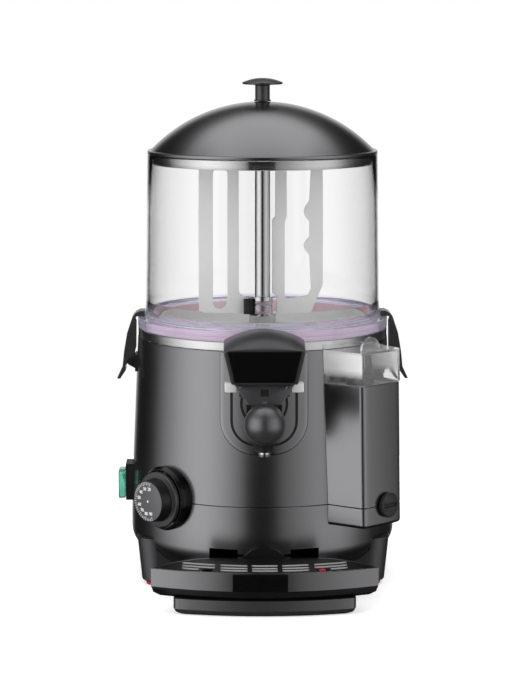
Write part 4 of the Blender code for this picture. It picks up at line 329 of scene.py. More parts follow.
# %% Steel, clear and tinted finishes
def drawn_steel(name, low, high, rough, stretch):
    """Metal with fine lines: noise read through a mapping that squeezes it along one axis."""
    made, tree, shader = blank(name, Metallic=1.0)
    place = add(tree, "ShaderNodeTexCoord").outputs["Object"]
    mapped = add(tree, "ShaderNodeMapping", {"Vector": place, "Scale": stretch})
    lines = add(tree, "ShaderNodeTexNoise",
                {"Vector": mapped.outputs["Vector"], "Scale": 1.0, "Detail": 3.0})
    tint = add(tree, "ShaderNodeMix", {"Factor": lines.outputs["Fac"]}, data_type="RGBA")
    tint.inputs["A"].default_value = linear(low)
    tint.inputs["B"].default_value = linear(high)
    gloss = add(tree, "ShaderNodeMapRange", {"Value": lines.outputs["Fac"],
                                             "To Min": rough * 0.8, "To Max": rough * 1.25})
    tree.links.new(tint.outputs["Result"], shader.inputs["Base Color"])
    tree.links.new(gloss.outputs["Result"], shader.inputs["Roughness"])
    return made


STEEL = drawn_steel("drawn_stainless_steel", "d6d7d8", "e6e6e6", 0.16, (30, 30, 1400))
POLISHED = drawn_steel("polished_stainless_steel", "dcdddd", "ebebeb", 0.07, (900, 900, 20))


# Panes whose outward normal points this way, to the front left, take a painted reflection.
LEFT_PANE = (-0.725, -0.688, 0.0)


def clear_plastic(name, tint, rough, density, foot="ffffff", edge_z=0.252, haze=0.0,
                  painted_reflection=(0.0, 0.0, 1.0)):
    """Solid clear plastic: full transmission, with the tint held by the volume inside.

    Below edge_z the surface is tinted and a share of it, haze, scatters light, as a thick
    moulded foot does. A pane that faces LEFT_PANE scatters a further share, the first of the
    last argument's three numbers, fading in between the heights its other two give. That
    milky patch is a painted reflection."""
    made, tree, shader = blank(name, IOR=1.46, Roughness=rough, Transmission_Weight=1.0)
    shader.inputs["Specular IOR Level"].default_value = 0.3
    place = add(tree, "ShaderNodeTexCoord").outputs["Object"]
    height = add(tree, "ShaderNodeSeparateXYZ", {"Vector": place}).outputs["Z"]
    rise = add(tree, "ShaderNodeMapRange", {"Value": height, "From Min": edge_z,
                                            "From Max": edge_z + 0.004})
    glow = add(tree, "ShaderNodeMix", {"Factor": rise.outputs["Result"]}, data_type="RGBA")
    glow.inputs["A"].default_value = linear(foot)
    glow.inputs["B"].default_value = linear("ffffff")
    tree.links.new(glow.outputs["Result"], shader.inputs["Base Color"])
    waves = add(tree, "ShaderNodeTexNoise", {"Vector": place, "Scale": 60.0, "Detail": 1.0})
    relief = add(tree, "ShaderNodeBump", {"Height": waves.outputs["Fac"], "Strength": 0.25,
                                          "Distance": 0.0002})
    tree.links.new(relief.outputs["Normal"], shader.inputs["Normal"])
    volume = add(tree, "ShaderNodeVolumeAbsorption", {"Color": linear(tint),
                                                      "Density": density})
    output = tree.nodes["Material Output"]
    tree.links.new(volume.outputs["Volume"], output.inputs["Volume"])
    path = add(tree, "ShaderNodeLightPath")
    passing = add(tree, "ShaderNodeMath", {0: path.outputs["Is Shadow Ray"],
                                           1: path.outputs["Is Diffuse Ray"]},
                  operation="MAXIMUM")
    open_air = add(tree, "ShaderNodeBsdfTransparent", {"Color": (0.95, 0.95, 0.95, 1)})
    milk = add(tree, "ShaderNodeBsdfDiffuse", {"Color": linear(foot)})
    share = add(tree, "ShaderNodeMapRange", {"Value": height, "From Min": edge_z,
                                             "From Max": edge_z + 0.004, "To Min": haze,
                                             "To Max": 0.0})
    normal = add(tree, "ShaderNodeNewGeometry").outputs["Normal"]
    # Panes that face LEFT_PANE get a further milky share between two heights: a painted
    # reflection.
    leftward = add(tree, "ShaderNodeVectorMath", {0: normal, 1: LEFT_PANE},
                   operation="DOT_PRODUCT")
    pane = add(tree, "ShaderNodeMapRange", {"Value": leftward.outputs["Value"],
                                            "From Min": 0.7, "From Max": 0.95,
                                            "To Min": 0.0, "To Max": painted_reflection[0]})
    reflection_height = add(tree, "ShaderNodeMapRange", {"Value": height, "From Min": painted_reflection[1],
                                            "From Max": painted_reflection[2]})
    reflection_share = add(tree, "ShaderNodeMath", {0: pane.outputs["Result"],
                                        1: reflection_height.outputs["Result"]}, operation="MULTIPLY")
    share = add(tree, "ShaderNodeMath", {0: share.outputs["Result"],
                                         1: reflection_share.outputs["Value"]}, operation="ADD")
    thick = add(tree, "ShaderNodeMixShader", {0: share.outputs["Value"],
                                              1: shader.outputs["BSDF"],
                                              2: milk.outputs["BSDF"]})
    both = add(tree, "ShaderNodeMixShader", {0: passing.outputs["Value"],
                                             1: thick.outputs["Shader"],
                                             2: open_air.outputs["BSDF"]})
    tree.links.new(both.outputs["Shader"], output.inputs["Surface"])
    return made


CLEAR = clear_plastic("clear_polycarbonate", "c8c8c9", 0.015, 20.0, "e2e0f2", 0.250, 0.14)
# On the cover, the last tuple lays that painted reflection on the left pane, 204 to 212 mm high.
COVER = clear_plastic("clear_polystyrene", "dcdce2", 0.03, 10.0, "fafafa", 0.300, 0.04,
                      (0.62, 0.204, 0.212))
BOOT = clear_plastic("teal_silicone_boot", "4fc2a6", 0.15, 120.0, "a4dccf", 0.300, 0.14)
BLASTED = grained("blasted_stainless_steel", "eceded", "f4f4f4", 0.4, 0.01, 0.5, 0.04,
                  Metallic=0.1)
LENS = grained("green_switch_lens", "1f8577", "349c8c", 2.0, 0.004, 0.22, 0.03, IOR=1.49,
               Transmission_Weight=0.25)
INK = grained("white_pad_print", "e2e2e2", "ececec", 0.5, 0.002, 0.5, 0.03)
print("materials:", len(bpy.data.materials))

# %% [markdown]
# ## The case: a turned body with a side box
# Seen from above, the case is a circle with a box let into it. Each row of the skin is that
# outline at one height: the arc, the box's two flaring sides, two rounded corners and the
# flat face. Below and above the box the same columns simply lie on the circle.

# %% The case's outline
BOX_BEARING, BOX_FLARE, BOX_HALF = 43.5, 0.216, 0.025
BOX_FOOT_Z, BOX_TOP_Z = 0.067, 0.198
BOX_FOOT_OUT, BOX_TOP_OUT = 0.1585, 0.1555
BOX_OUT = out_from(BOX_BEARING)
BOX_ACROSS = np.array([-BOX_OUT[1], BOX_OUT[0], 0.0])


def box_spot(n, t, z):
    """Places by distance out from the axis (n) and along the box's face (t)."""
    n, t, z = (np.float64(v)[..., None] for v in np.broadcast_arrays(n, t, z))
    return np.array([0, AXIS_Y, 0]) + n * BOX_OUT + t * BOX_ACROSS + z * np.array([0, 0, 1.0])


def body_radius(z):
    """Radius of the outside: a cone, the belly's band, then a quarter ellipse to the floor."""
    if z >= BELLY_Z:
        return float(np.interp(z, [BELLY_Z, SEAM_Z, BODY_TOP_Z], [BELLY_R, SEAM_R, BODY_TOP_R]))
    if z >= SHOULDER_Z:
        return BELLY_R
    drop = (SHOULDER_Z - z) / (SHOULDER_Z - FLOOR_Z)
    return FLOOR_R + (BELLY_R - FLOOR_R) * math.sqrt(max(0.0, 1 - drop * drop))


def box_out(z):
    return float(np.interp(z, [BOX_FOOT_Z, BOX_TOP_Z], [BOX_FOOT_OUT, BOX_TOP_OUT]))


def case_outline(radius, reach, half, corner=0.005, bow=0.0008):
    """One row. The side line t = half + flare * (out - n) meets the circle where
    n = (a s + sqrt(a a s s - (1 + s s)(a a - r r))) / (1 + s s), a = half + s * out.
    The face bows by bow * (t / half) squared, as a wide sheet does."""
    s = BOX_FLARE
    a = half + s * reach
    root = a * a * s * s - (1 + s * s) * (a * a - radius * radius)
    n = (a * s + math.sqrt(root)) / (1 + s * s)
    meet = math.atan2(a - s * n, n)
    start = meet + 0.012
    arc = np.linspace(start, 2 * math.pi - start, AROUND)
    loop = np.stack([radius * np.cos(arc), radius * np.sin(arc)], axis=1)
    sides = np.linspace(0, 1, 6)[:, None]
    foot = np.array([n, -(a - s * n)])
    t = np.concatenate([[-half], np.linspace(0.0075 - half, 0, 5)])
    face = np.stack([reach - bow * (t / half) ** 2, t], axis=1)
    right = softened(np.concatenate([loop[-1:], foot[None], face]),
                     [0, 0.0012, corner, 0, 0, 0, 0, 0], closed=False, steps=8)
    left = right[::-1] * [1, -1]
    return np.concatenate([loop, right[1:], left[1:-1]])


def case_row(z, inset=0.0, box=True, ease=0.0, radius=None):
    """The outline at z, drawn inwards by a wall, with the box eased back or left out."""
    reach = box_out(z) - inset - ease
    outline = case_outline(body_radius(z) - inset, reach, BOX_HALF - inset * 1.02 - ease)
    if not box:
        radius = radius or body_radius(z) - inset
        turn = np.arctan2(outline[:, 1], outline[:, 0])
        outline = np.stack([radius * np.cos(turn), radius * np.sin(turn)], axis=1)
    return box_spot(outline[:, 0], outline[:, 1], z)


print("case row:", len(case_row(0.1)), "columns")

# %% [markdown]
# The upper shell runs from the seam to the bowl's seat and the lower one holds the belly. Both
# are sheets of one thickness: the rows go up the outside and come back down the inside. Slots
# and windows are then cut by taking simple blocks away. Behind each window stands a black
# block that no real machine has: without it the lit inside of the case would show through.

# %% Build both shells
def cutter(name, x, d, z):
    """Block between limits, used once for a cut and then removed."""
    corners = spot(np.array([x[0], x[1], x[1], x[0]]), np.array([d[0], d[0], d[1], d[1]]), z[0])
    return skin(name, [corners, corners + [0, 0, z[1] - z[0]]])


def cut_out(piece, *tools):
    for tool in tools:
        boolean = piece.modifiers.new(tool.name, "BOOLEAN")
        boolean.operation, boolean.solver, boolean.object = "DIFFERENCE", "EXACT", tool
    graph = bpy.context.evaluated_depsgraph_get()
    mesh = bpy.data.meshes.new_from_object(piece.evaluated_get(graph))
    piece.modifiers.clear()
    piece.data = sharp_after(mesh, 40)
    for tool in tools:
        bpy.data.objects.remove(tool)
    return piece


SEAM_CUT = 0.0004
FLOOR_HOLE_R = 0.030
rows = [case_row(0.0863, SEAM_CUT), case_row(0.0863 + SEAM_CUT)]
rows += [case_row(z) for z in (0.0872, *np.linspace(0.090, 0.1966, 14), 0.1969)]
rows += [case_row(0.1974, ease=0.0003), case_row(0.198, ease=0.001)]
rows += [case_row(0.198, box=False, ease=0.001)]
rows += [case_row(z, box=False) for z in np.linspace(0.201, 0.2273, 6)]
rows += [case_row(0.228, SEAM_CUT, box=False), case_row(0.228, WALL, box=False)]
rows += [case_row(z, WALL, box=False) for z in (0.21, 0.1955)]
rows += [case_row(0.1955, WALL), case_row(0.0863, WALL)]
upper = skin("upper_case", rows, ring=True)
filler = box_spot(0.136, -0.008, 0)
upper = cut_out(upper, turned("filler_cut", [(0, 0.19), (0.009, 0.19), (0.009, 0.2), (0, 0.2)],
                              (float(filler[0]), AXIS_Y - float(filler[1])), radii=0,
                              ring=False, steps=48))
dress(upper, "upper_shell", "machine", LACQUER)

belly = [SHOULDER_Z - (SHOULDER_Z - FLOOR_Z) * math.sin(s) for s in np.linspace(1.5708, 0, 18)]
rows = [case_row(FLOOR_Z, box=False, radius=FLOOR_HOLE_R)]
rows += [case_row(z, box=False) for z in belly]
rows += [case_row(0.060, box=False), case_row(0.067, box=False, ease=0.0025),
         case_row(0.067, ease=0.0025)]
rows += [case_row(0.0675, ease=0.0013), case_row(0.0685, ease=0.0004), case_row(0.0700)]
rows += [case_row(0.0705), case_row(0.080), case_row(0.0852), case_row(0.086 - SEAM_CUT),
         case_row(0.086, SEAM_CUT)]
rows += [case_row(0.086, WALL), case_row(0.0695, WALL), case_row(0.0695, WALL, box=False)]
rows += [case_row(max(z, FLOOR_Z + WALL), WALL, box=False) for z in belly[::-1]]
rows += [case_row(FLOOR_Z + WALL, box=False, radius=FLOOR_HOLE_R)]
lower = skin("lower_case", rows, ring=True)
lower = cut_out(lower, *[cutter("slot", (x - 0.0015, x + 0.0015), (-0.14, -0.09),
                                (0.045, 0.075)) for side in (-1, 1)
                         for x in side * np.array([0.030, 0.040, 0.050, 0.060])],
                *[cutter("window", sorted((s * 0.024, s * 0.050)), (0.09, 0.14),
                         (0.0275, 0.047)) for s in (-1, 1)],
                cutter("switch_gap", (-0.13, -0.11), (-0.0092, 0.0092), (0.0738, 0.1012)))
dress(lower, "lower_shell", "machine", LACQUER)
# Black blocks behind the windows: painted shade that stands in for the dark inside of the case.
for s, side in ((-1, "left"), (1, "right")):
    x = np.array(sorted((s * 0.021, s * 0.053)))
    shade_block = skin("shade_block_" + side, [
        spot(x[[0, 1, 1, 0]], np.array([0.054, 0.054, 0.066, 0.066]), z) for z in (0.021, 0.050)])
    dress(shade_block, None, "machine", BLACK)
print("case:", len(upper.data.polygons), len(lower.data.polygons), "faces")

# %% [markdown]
# ## Bowl, foot ring, gasket and pot
# The bowl is one clear moulding, so both its faces matter: light bends at each. The profile
# is drawn once round the wall's section. Under it lie the soft gasket and the bright ring of
# the deep-drawn pot.

# %% Turn the bowl and what it stands on
bowl = turned("clear_bowl", [
    (0.1081, 0.3991), (0.1089, 0.350), (0.1102, 0.262), (0.1107, 0.2555), (0.1111, 0.2465),
    (0.118, 0.246), (0.118, 0.2366), (0.1099, 0.2366), (0.1099, 0.2466), (0.1046, 0.2466),
    (0.1046, 0.2490), (0.1070, 0.2525), (0.1076, 0.262), (0.1063, 0.350), (0.1055, 0.3991)],
    radii=[0.0008, 0, 0.004, 0.0008, 0.0008, 0.0012, 0.0012, 0.0005, 0.0005, 0.0005, 0.0012,
           0.002, 0.006, 0, 0.0008], smooth=30)
dress(bowl, "bowl", "machine", CLEAR)
gasket = turned("silicone_gasket", [
    (0.105, 0.2363), (0.1096, 0.2363), (0.1096, 0.2385), (0.1088, 0.2395), (0.1096, 0.2405),
    (0.1096, 0.2425), (0.1088, 0.2435), (0.1096, 0.2445), (0.1096, 0.2463), (0.105, 0.2463)])
dress(gasket, "bowl_gasket", "machine", GASKET)
band = turned("pot_rim", [(0.1177, 0.2284), (0.1177, 0.2361), (0.1125, 0.2361),
                          (0.1125, 0.2357), (0.1172, 0.2357), (0.1172, 0.2284)],
              radii=[0.0002, 0.0006, 0.0001, 0.0001, 0.0003, 0.0001])
dress(band, None, "machine", STEEL)
print("bowl:", len(bowl.data.polygons), "faces")

# %% [markdown]
# ## Lid
# The lid is spun from one sheet, a deep dome with a turned rim, over a polished skirt that
# drops inside the bowl. Its knob is a mushroom of moulded ABS on a short stem.

# %% Spin the lid
APEX_Z, LID_EDGE_R, LID_EDGE_Z = 0.448, 0.105, 0.4028


def dome(radius, apex, edge, steps):
    """Circular arc from the axis to the edge: R = (r r + h h) / (2 h)."""
    rise = apex - edge
    ball = (radius ** 2 + rise ** 2) / (2 * rise)
    turn = np.linspace(0, math.asin(radius / ball), steps)
    return np.stack([ball * np.sin(turn), apex - ball + ball * np.cos(turn)], axis=1)


outside = dome(LID_EDGE_R, APEX_Z, LID_EDGE_Z, 40)
inside = dome(LID_EDGE_R - 0.001, APEX_Z - 0.0017, LID_EDGE_Z - 0.0016, 20)
outside[0, 0] = inside[0, 0] = 0.003
rim = np.array([(0.1068, 0.4031), (0.1080, 0.4024), (0.1082, 0.4012), (0.1082, 0.3999),
                (0.1079, 0.3994), (0.1042, 0.3994)])
lid = turned("lid_cover", np.concatenate([outside, rim, inside[::-1]]), radii=0, smooth=50)
dress(lid, "lid_dome", "lid", LACQUER)
skirt = turned("lid_skirt", [(0.1049, 0.3991), (0.1049, 0.3901), (0.1034, 0.3901),
                             (0.1034, 0.3991)], radii=0.0005)
dress(skirt, "lid_band", "lid", POLISHED)

cap = dome(0.019, HEIGHT, 0.4658, 14)
knob = turned("lid_knob_cap", np.concatenate([cap, [
    (0.0189, 0.4644), (0.0172, 0.4639), (0.0069, 0.4634), (0.0069, 0.4497),
    (0.0079, 0.4497), (0.0079, 0.4483), (0.0027, 0.4483), (0.0027, 0.4413), (0, 0.4413)]]),
    radii=[0] * 13 + [0.0004, 0.0004, 0, 0.0012, 0.0003, 0.0004, 0.0003, 0.0003, 0.0005, 0],
    ring=False, steps=96, smooth=50)
dress(knob, "lid_knob", "lid", SATIN)
print("lid:", len(lid.data.polygons), "faces")

# %% [markdown]
# ## Mixer
# The paddles are milky polypropylene and clip to a bright tube that turns with the hub. Their
# slots and bumps are already right in the frame, so their edges are eased and no more.

# %% Dress the mixer
for side in ("left", "right"):
    dress(eased("paddle_" + side, 0.0008), "paddle_" + side, "mixer", PADDLE)
dress(eased("pot_scraper", 0.0006), "pot_scraper", "mixer", PADDLE)
column = turned("mixer_tube", [(0.0072, 0.2565), (0.0072, 0.388), (0, 0.388), (0, 0.2565)],
                radii=[0.0003, 0.0022, 0, 0], ring=False, steps=72)
dress(column, "stirrer_column", "mixer", POLISHED)
hub = turned("hub_sleeve", [(0.0130, 0.2322), (0.0130, 0.2400), (0.0096, 0.2424),
                            (0.0096, 0.2552), (0.0090, 0.2556), (0.0090, 0.2566),
                            (0.0096, 0.2570), (0.0095, 0.2640), (0.0074, 0.2640),
                            (0.0074, 0.2562), (0.0052, 0.2562), (0.0052, 0.2522),
                            (0.0084, 0.2522), (0.0084, 0.2322)], radii=0.0003)
dress(hub, "stirrer_hub", "mixer", POLISHED)
clip = skin("hub_clip", [
    spot(np.array([-0.0180, -0.0088, -0.0088, -0.0180]), np.array([-1, -1, 1, 1]) * 0.0062, z)
    for z in (0.2412, 0.2620)])
dress(clip, None, "mixer", BLACK)
print("mixer tube and hub:", len(column.data.polygons) + len(hub.data.polygons), "faces")

# %% [markdown]
# ## Tap plate
# A shield-shaped plate wraps the case behind the tap. Its rows are one shield outline drawn
# ever smaller, each laid on a cylinder just proud of the case, with a black groove set in.

# %% Wrap the plate round the case
def shield(half, foot, top, corner, steps=26):
    """Outline in (x, z): straight sides, a flat top and two large lower corners."""
    corner = min(corner, half - 1e-4)
    return softened([(-half, top), (-half, foot), (half, foot), (half, top)],
                    [0.0015, corner, corner, 0.0015], steps=steps)


def wrapped(outline, lift):
    """Lays points (x, z) on the case: depth = sqrt((radius(z) + lift) squared - x squared)."""
    radius = np.array([body_radius(z) for z in outline[:, 1]]) + lift
    return spot(outline[:, 0], np.sqrt(radius ** 2 - outline[:, 0] ** 2), outline[:, 1])


def inner_shield(o, lift):
    return wrapped(shield(0.040 - o, 0.1345 + 0.9 * o, 0.2272 - 0.15 * o,
                          max(0.032 - o, 0.002)), lift)


plate_rows = [inner_shield(0.0396, 0.0003), inner_shield(0.001, 0.0003),
              inner_shield(0.0, 0.0006), inner_shield(0.0, 0.0012),
              inner_shield(0.0003, 0.0016), inner_shield(0.0009, 0.0018)]
plate_rows += [inner_shield(o, 0.0018) for o in (0.004, 0.008, 0.0094)]
plate_rows += [inner_shield(o, 0.0006) for o in (0.0096, 0.0116)]
plate_rows += [inner_shield(o, 0.0018) for o in (0.0118, 0.014, 0.019, 0.026, 0.033, 0.0396)]
plate = skin("tap_shield", plate_rows, smooth=45)
dress(plate, "tap_plate", "machine", LACQUER)
# A black strip fills the plate's groove, darker than the plate round it.
groove_rows = [inner_shield(o, lift) for o, lift in
             ((0.0097, 0.00065), (0.0115, 0.00065), (0.0115, 0.0011), (0.0097, 0.0011))]
dress(skin("tap_groove_fill", groove_rows, ring=True), None, "machine", BLACK)

turn = np.linspace(0, 2 * np.pi, 96, endpoint=False)
collar_rows = [wrapped(np.stack([r * np.sin(turn), 0.1815 + r * np.cos(turn)], axis=1), lift)
               for r, lift in ((0.0198, 0.0019), (0.0218, 0.0019), (0.0218, 0.0027),
                               (0.0198, 0.0027))]
dress(skin("tap_collar", collar_rows, ring=True), None, "machine", BLACK)
print("plate:", len(plate.data.polygons), "faces")

# %% [markdown]
# ## Tap, lever and ball
# The tap body is one turned tube, black in front of the shield. Its lever is a sheet whose
# wide apron hides the valve, and the user pushes the ball. The apron is a trapezoid laid on
# the lever's slope in a few rows, with a slot cut through and a black block set behind it:
# painted shade that keeps the slot dark. The ball is a half circle spun round, and its paint
# is the lever's.

# %% Shape the tap
dress(eased("tap_body", 0.0004, angle=40, smooth=45), "tap_body", "machine", BLACK)
tip = turned("steel_tip", [(0.0052, 0.1516), (0.0052, 0.1395), (0.0047, 0.1365),
                           (0.0036, 0.1365), (0.0040, 0.1395), (0.0040, 0.1516)],
             (0, 0.141), radii=[0.0004, 0.0020, 0.0005, 0.0003, 0.001, 0.0004], steps=72)
dress(tip, "spout_tip", "machine", POLISHED)
dress(eased("tap_lever", 0.0006), "tap_lever", "tap_handle", PAINTED)


def on_lever(outline, lift):
    """Points (x, down) on the lever's sloping front, raised square to it by lift."""
    outline = np.asarray(outline, dtype=np.float64)
    return spot(outline[:, 0], 0.150 + 0.3 * outline[:, 1] + 0.954 * lift,
                0.2035 - 0.954 * outline[:, 1] + 0.3 * lift)


def vee(inset):
    return softened([(-0.0275 + inset, -0.001 + inset), (0.0275 - inset, -0.001 + inset),
                     (0.0150 - inset, 0.0186 - inset), (-0.0150 + inset, 0.0186 - inset)],
                    [0.0006, 0.0006, 0.003, 0.003])


apron = skin("lever_apron", [on_lever(vee(inset), lift) for inset, lift in
                             ((0, 0.0006), (0, 0.0014), (0.0002, 0.0017), (0.0006, 0.0018))])
window = [(-0.0036, -0.0008), (0.0036, -0.0008), (0.0036, 0.0108), (-0.0036, 0.0108)]
apron = cut_out(apron, skin("slot", [on_lever(window, 0), on_lever(window, 0.003)]))
dress(apron, None, "tap_handle", PAINTED)
# A black block behind the slot: painted shade.
slot_shade = skin("slot_shade_block", [on_lever(np.array(window) * [1.15, 1.02], lift)
                            for lift in (-0.0010, 0.0008)])
dress(slot_shade, None, "tap_handle", BLACK)
turn = np.linspace(-math.pi / 2, math.pi / 2, 64)
ball = turned("tap_ball", np.stack([0.0184 * np.cos(turn), 0.1715 + 0.0184 * np.sin(turn)],
                                   axis=1), (0, 0.172), radii=0, ring=False, steps=128,
              smooth=80)
dress(ball, "ball_knob", "tap_handle", PAINTED)
print("ball:", len(ball.data.polygons), "faces, apron:", len(apron.data.polygons))

# %% [markdown]
# ## Hood
# The hood over the tap is one moulding with a domed crown that rolls down to a crisp brow. A
# bevel can't make that roll, so the outline is drawn afresh at each depth. A recess for the
# panel, room for the lever and the case's own curve are then cut out of it.

# %% Roll the hood
HOOD_HALF, HOOD_BALL_R, HOOD_LEAN, BROW_Z = 0.0368, 0.0653, 0.127, 0.236


def hood_row(d, inset=0.0):
    """Front-view outline at depth d. Its top is edge + (arch - edge) * (1 - s * s), where s
    runs from 0 on the crown to 1 at the front, so the dome rolls down to a crisp brow."""
    s = min(max((d - 0.133) / 0.028, 0.0), 1.0)
    x = np.linspace(1, -1, 25) * HOOD_HALF
    arch = 0.2495 - HOOD_BALL_R + np.sqrt(HOOD_BALL_R ** 2 - x ** 2)
    edge = 0.2366 - 0.0009 * (x / HOOD_HALF) ** 2
    top = np.stack([x, edge + (arch - edge) * (1 - s * s)], axis=1)
    outline = np.concatenate([[(-0.0295, 0.2045), (0.0295, 0.2045)], top])
    outline = softened(outline, [0.002, 0.002, 0.003] + [0] * 23 + [0.003])
    outline = (outline - [0, 0.222]) * (1 - inset / 0.03) + [0, 0.222]
    lean = HOOD_LEAN * min(max((d - 0.12) / 0.04, 0.0), 1.0)
    return spot(outline[:, 0], d - (BROW_Z - outline[:, 1]) * lean, outline[:, 1])


hood_rows = [hood_row(d) for d in (0.110, 0.120, 0.128, *np.linspace(0.133, 0.1602, 12))]
hood_rows += [hood_row(0.1607, 0.0003), hood_row(0.161, 0.0008), hood_row(0.161, 0.0015)]
hood = skin("hood_dome", hood_rows, smooth=35)
slope = np.array([[-0.0268, 0.2062], [0.0268, 0.2062], [0.0332, 0.2348], [-0.0332, 0.2348]])
slope = softened(slope, 0.0012)
recess = [spot(slope[:, 0], 0.161 - (BROW_Z - slope[:, 1]) * HOOD_LEAN + lift, slope[:, 1])
          for lift in (-0.0009, 0.004)]
reach = [(0, 0.19)] + [(body_radius(z) + 0.0021, z) for z in (0.19, 0.2279)]
reach += [(0.1201, 0.2281), (0.1201, 0.26), (0, 0.26)]
hood = cut_out(hood, cutter("cavity", (-0.028, 0.028), (0.108, 0.1552), (0.20, 0.238)),
               turned("case_cut", reach, radii=0, ring=False), skin("recess", recess))
dress(hood, "tap_hood", "machine", SATIN)
print("hood:", len(hood.data.polygons), "faces")

# %% [markdown]
# ## Panel, switch, latches and cover
# These are moulded ABS, nylon and clear plastic. The frame holds their forms, so their edges
# are eased and no more. The panel is left bare.

# %% Dress the moulded pieces
dress(eased("hood_panel", 0.0003), "hood_panel", "machine", GLOSS)
for side in ("left", "right"):
    dress(eased("pin_cap_" + side, 0.0004), "pin_cap_" + side, "machine", NYLON)
    dress(eased("latch_lever_" + side, 0.0008), "latch_lever_" + side, "latch_" + side, SATIN)
    dress(eased("latch_bracket_" + side, 0.0003), "latch_bracket_" + side, "machine", BLACK)
dress(eased("switch_housing", 0.0005), "switch_housing", "machine", BLACK)
dress(eased("switch_cover", 0.0004), "switch_cover", "machine", BOOT)
dress(eased("rocker", 0.0006), "rocker", "rocker", LENS)
dress(eased("water_cover", 0.0007), "water_cover", "water_cover", COVER)
dress(eased("filler_ring", 0.0005, angle=50, smooth=45), "filler_ring", "machine", BLACK)
dress(eased("drain_plug", 0.0005, angle=50, smooth=45), "drain_plug", "drain_plug", TRIM)
print("moulded pieces dressed")

# %% [markdown]
# ## Dial
# The dial is a flange with a ribbed grip, turned about a level axis. The ribs are worked out
# on the finished points: the grip's radius shrinks by 1% * (1 + cos(36 * angle)), which gives
# 36 of them. The grip is black, and a painted disc lies on its face.

# %% Turn the dial
DIAL_OUT, DIAL_Z = out_from(-45.5), 0.088
dial_middle = np.array([0, AXIS_Y, DIAL_Z])
bezel = turned("dial_bezel", [(0.0262, 0.1205), (0.0262, 0.1326), (0.0268, 0.133),
                              (0.0275, 0.133), (0.0297, 0.1295), (0.0297, 0.1205)],
               dial_middle, DIAL_OUT, radii=[0, 0.0002, 0.0002, 0.0006, 0.0008, 0], smooth=35)
dress(bezel, "thermostat_bezel", "machine", GLOSS)
dial = turned("dial_knob_skin", [(0, 0.1333), (0.0256, 0.1333), (0.0256, 0.137),
                                 (0.0199, 0.137), (0.0190, 0.149), (0, 0.149)],
              dial_middle, DIAL_OUT, radii=[0, 0.0005, 0.0007, 0.0006, 0.0009, 0], ring=False,
              steps=288, smooth=35)
flat = np.empty(len(dial.data.vertices) * 3)
dial.data.vertices.foreach_get("co", flat)
flat = flat.reshape(-1, 3) - dial_middle
depth = flat @ DIAL_OUT
across = flat - depth[:, None] * DIAL_OUT
angle = np.arctan2(across[:, 2], across @ np.cross([0.0, 0, 1], DIAL_OUT))
grip = ((depth > 0.1376) & (depth < 0.1480)) * 0.010 * (1 + np.cos(36 * angle))
flat -= across * grip[:, None]
dial.data.vertices.foreach_set("co", (flat + dial_middle).ravel())
dress(dial, "dial_knob", "dial", SATIN)
dial.data.materials.append(BLACK)
for face in dial.data.polygons:
    reach = np.array(face.center) - dial_middle
    face.material_index = int(0.1372 < reach @ DIAL_OUT < 0.1489)
face = turned("dial_face", [(0, 0.1487), (0.0183, 0.1487), (0.0183, 0.14904), (0, 0.14904)],
              dial_middle, DIAL_OUT, radii=[0, 0.0001, 0.00015, 0], ring=False, smooth=35)
dress(face, None, "dial", PAINTED)
print("dial:", len(dial.data.polygons), "faces")

# %% [markdown]
# The print is thin ink: a fan of ticks with every fourth one longer, plain round numbers
# inside them and a mark at the middle. Each figure is a filled outline of the built-in face.

# %% Print the dial
DIAL_UP = np.array([0.0, 0, 1])
DIAL_SIDE = np.cross(DIAL_UP, DIAL_OUT)
INK_LIFT = 0.14903
SCALE_FIRST, SCALE_LAST = 80, 290


def on_dial(points, lift=0.0):
    """Points (across, up) in metres on the dial's face, raised by the ink's thickness."""
    points = np.asarray(points, dtype=np.float64)
    return (dial_middle + (INK_LIFT + lift) * DIAL_OUT + points[:, :1] * DIAL_SIDE
            + points[:, 1:] * DIAL_UP)


def printed(name, shapes):
    """One thin closed slab for each flat outline, gathered in one object."""
    build = bmesh.new()
    for shape in shapes:
        low = [build.verts.new(p) for p in on_dial(shape)]
        high = [build.verts.new(p) for p in on_dial(shape, 0.00006)]
        build.faces.new(low[::-1])
        build.faces.new(high)
        for k in range(len(low)):
            n = (k + 1) % len(low)
            build.faces.new((low[k], low[n], high[n], high[k]))
    bmesh.ops.recalc_face_normals(build, faces=build.faces)
    mesh = bpy.data.meshes.new(name)
    build.to_mesh(mesh)
    build.free()
    return dress(added(name, mesh), None, "dial", INK)


ticks = []
for k, turn in enumerate(np.radians(np.linspace(SCALE_FIRST, SCALE_LAST, 29))):
    ray = np.array([math.cos(turn), math.sin(turn)])
    side = np.array([-ray[1], ray[0]]) * 0.00021
    near, far = (0.0146 if k % 4 == 0 else 0.0154), 0.0180
    ticks.append([ray * near - side, ray * near + side, ray * far + side, ray * far - side])
square = np.array([(-1, -1), (1, -1), (1, 1), (-1, 1)]) * 0.0009
printed("dial_ticks", ticks + [square])

for k, turn in enumerate(np.radians(np.linspace(SCALE_FIRST, SCALE_LAST, 8))):
    curve = bpy.data.curves.new("figure", "FONT")
    curve.body, curve.size, curve.extrude = str(10 * (k + 2)), 0.0042, 0.00003
    curve.align_x, curve.align_y = "CENTER", "CENTER"
    curve.resolution_u, curve.offset = 3, 0.00010
    figure = bpy.data.objects.new("figure", curve)
    bpy.context.scene.collection.objects.link(figure)
    graph = bpy.context.evaluated_depsgraph_get()
    mesh = bpy.data.meshes.new_from_object(figure.evaluated_get(graph))
    bpy.data.objects.remove(figure)
    middle = on_dial(np.array([[math.cos(turn), math.sin(turn)]]) * 0.0118, 0.00004)[0]
    frame_axes = Matrix(np.stack([DIAL_SIDE, DIAL_UP, DIAL_OUT], axis=1).tolist()).to_4x4()
    mesh.transform(Matrix.Translation(Vector(middle)) @ frame_axes)
    dress(added("dial_figure_" + str(k), tidy(mesh)), None, "dial", INK)
print("dial:", len(ticks), "ticks")
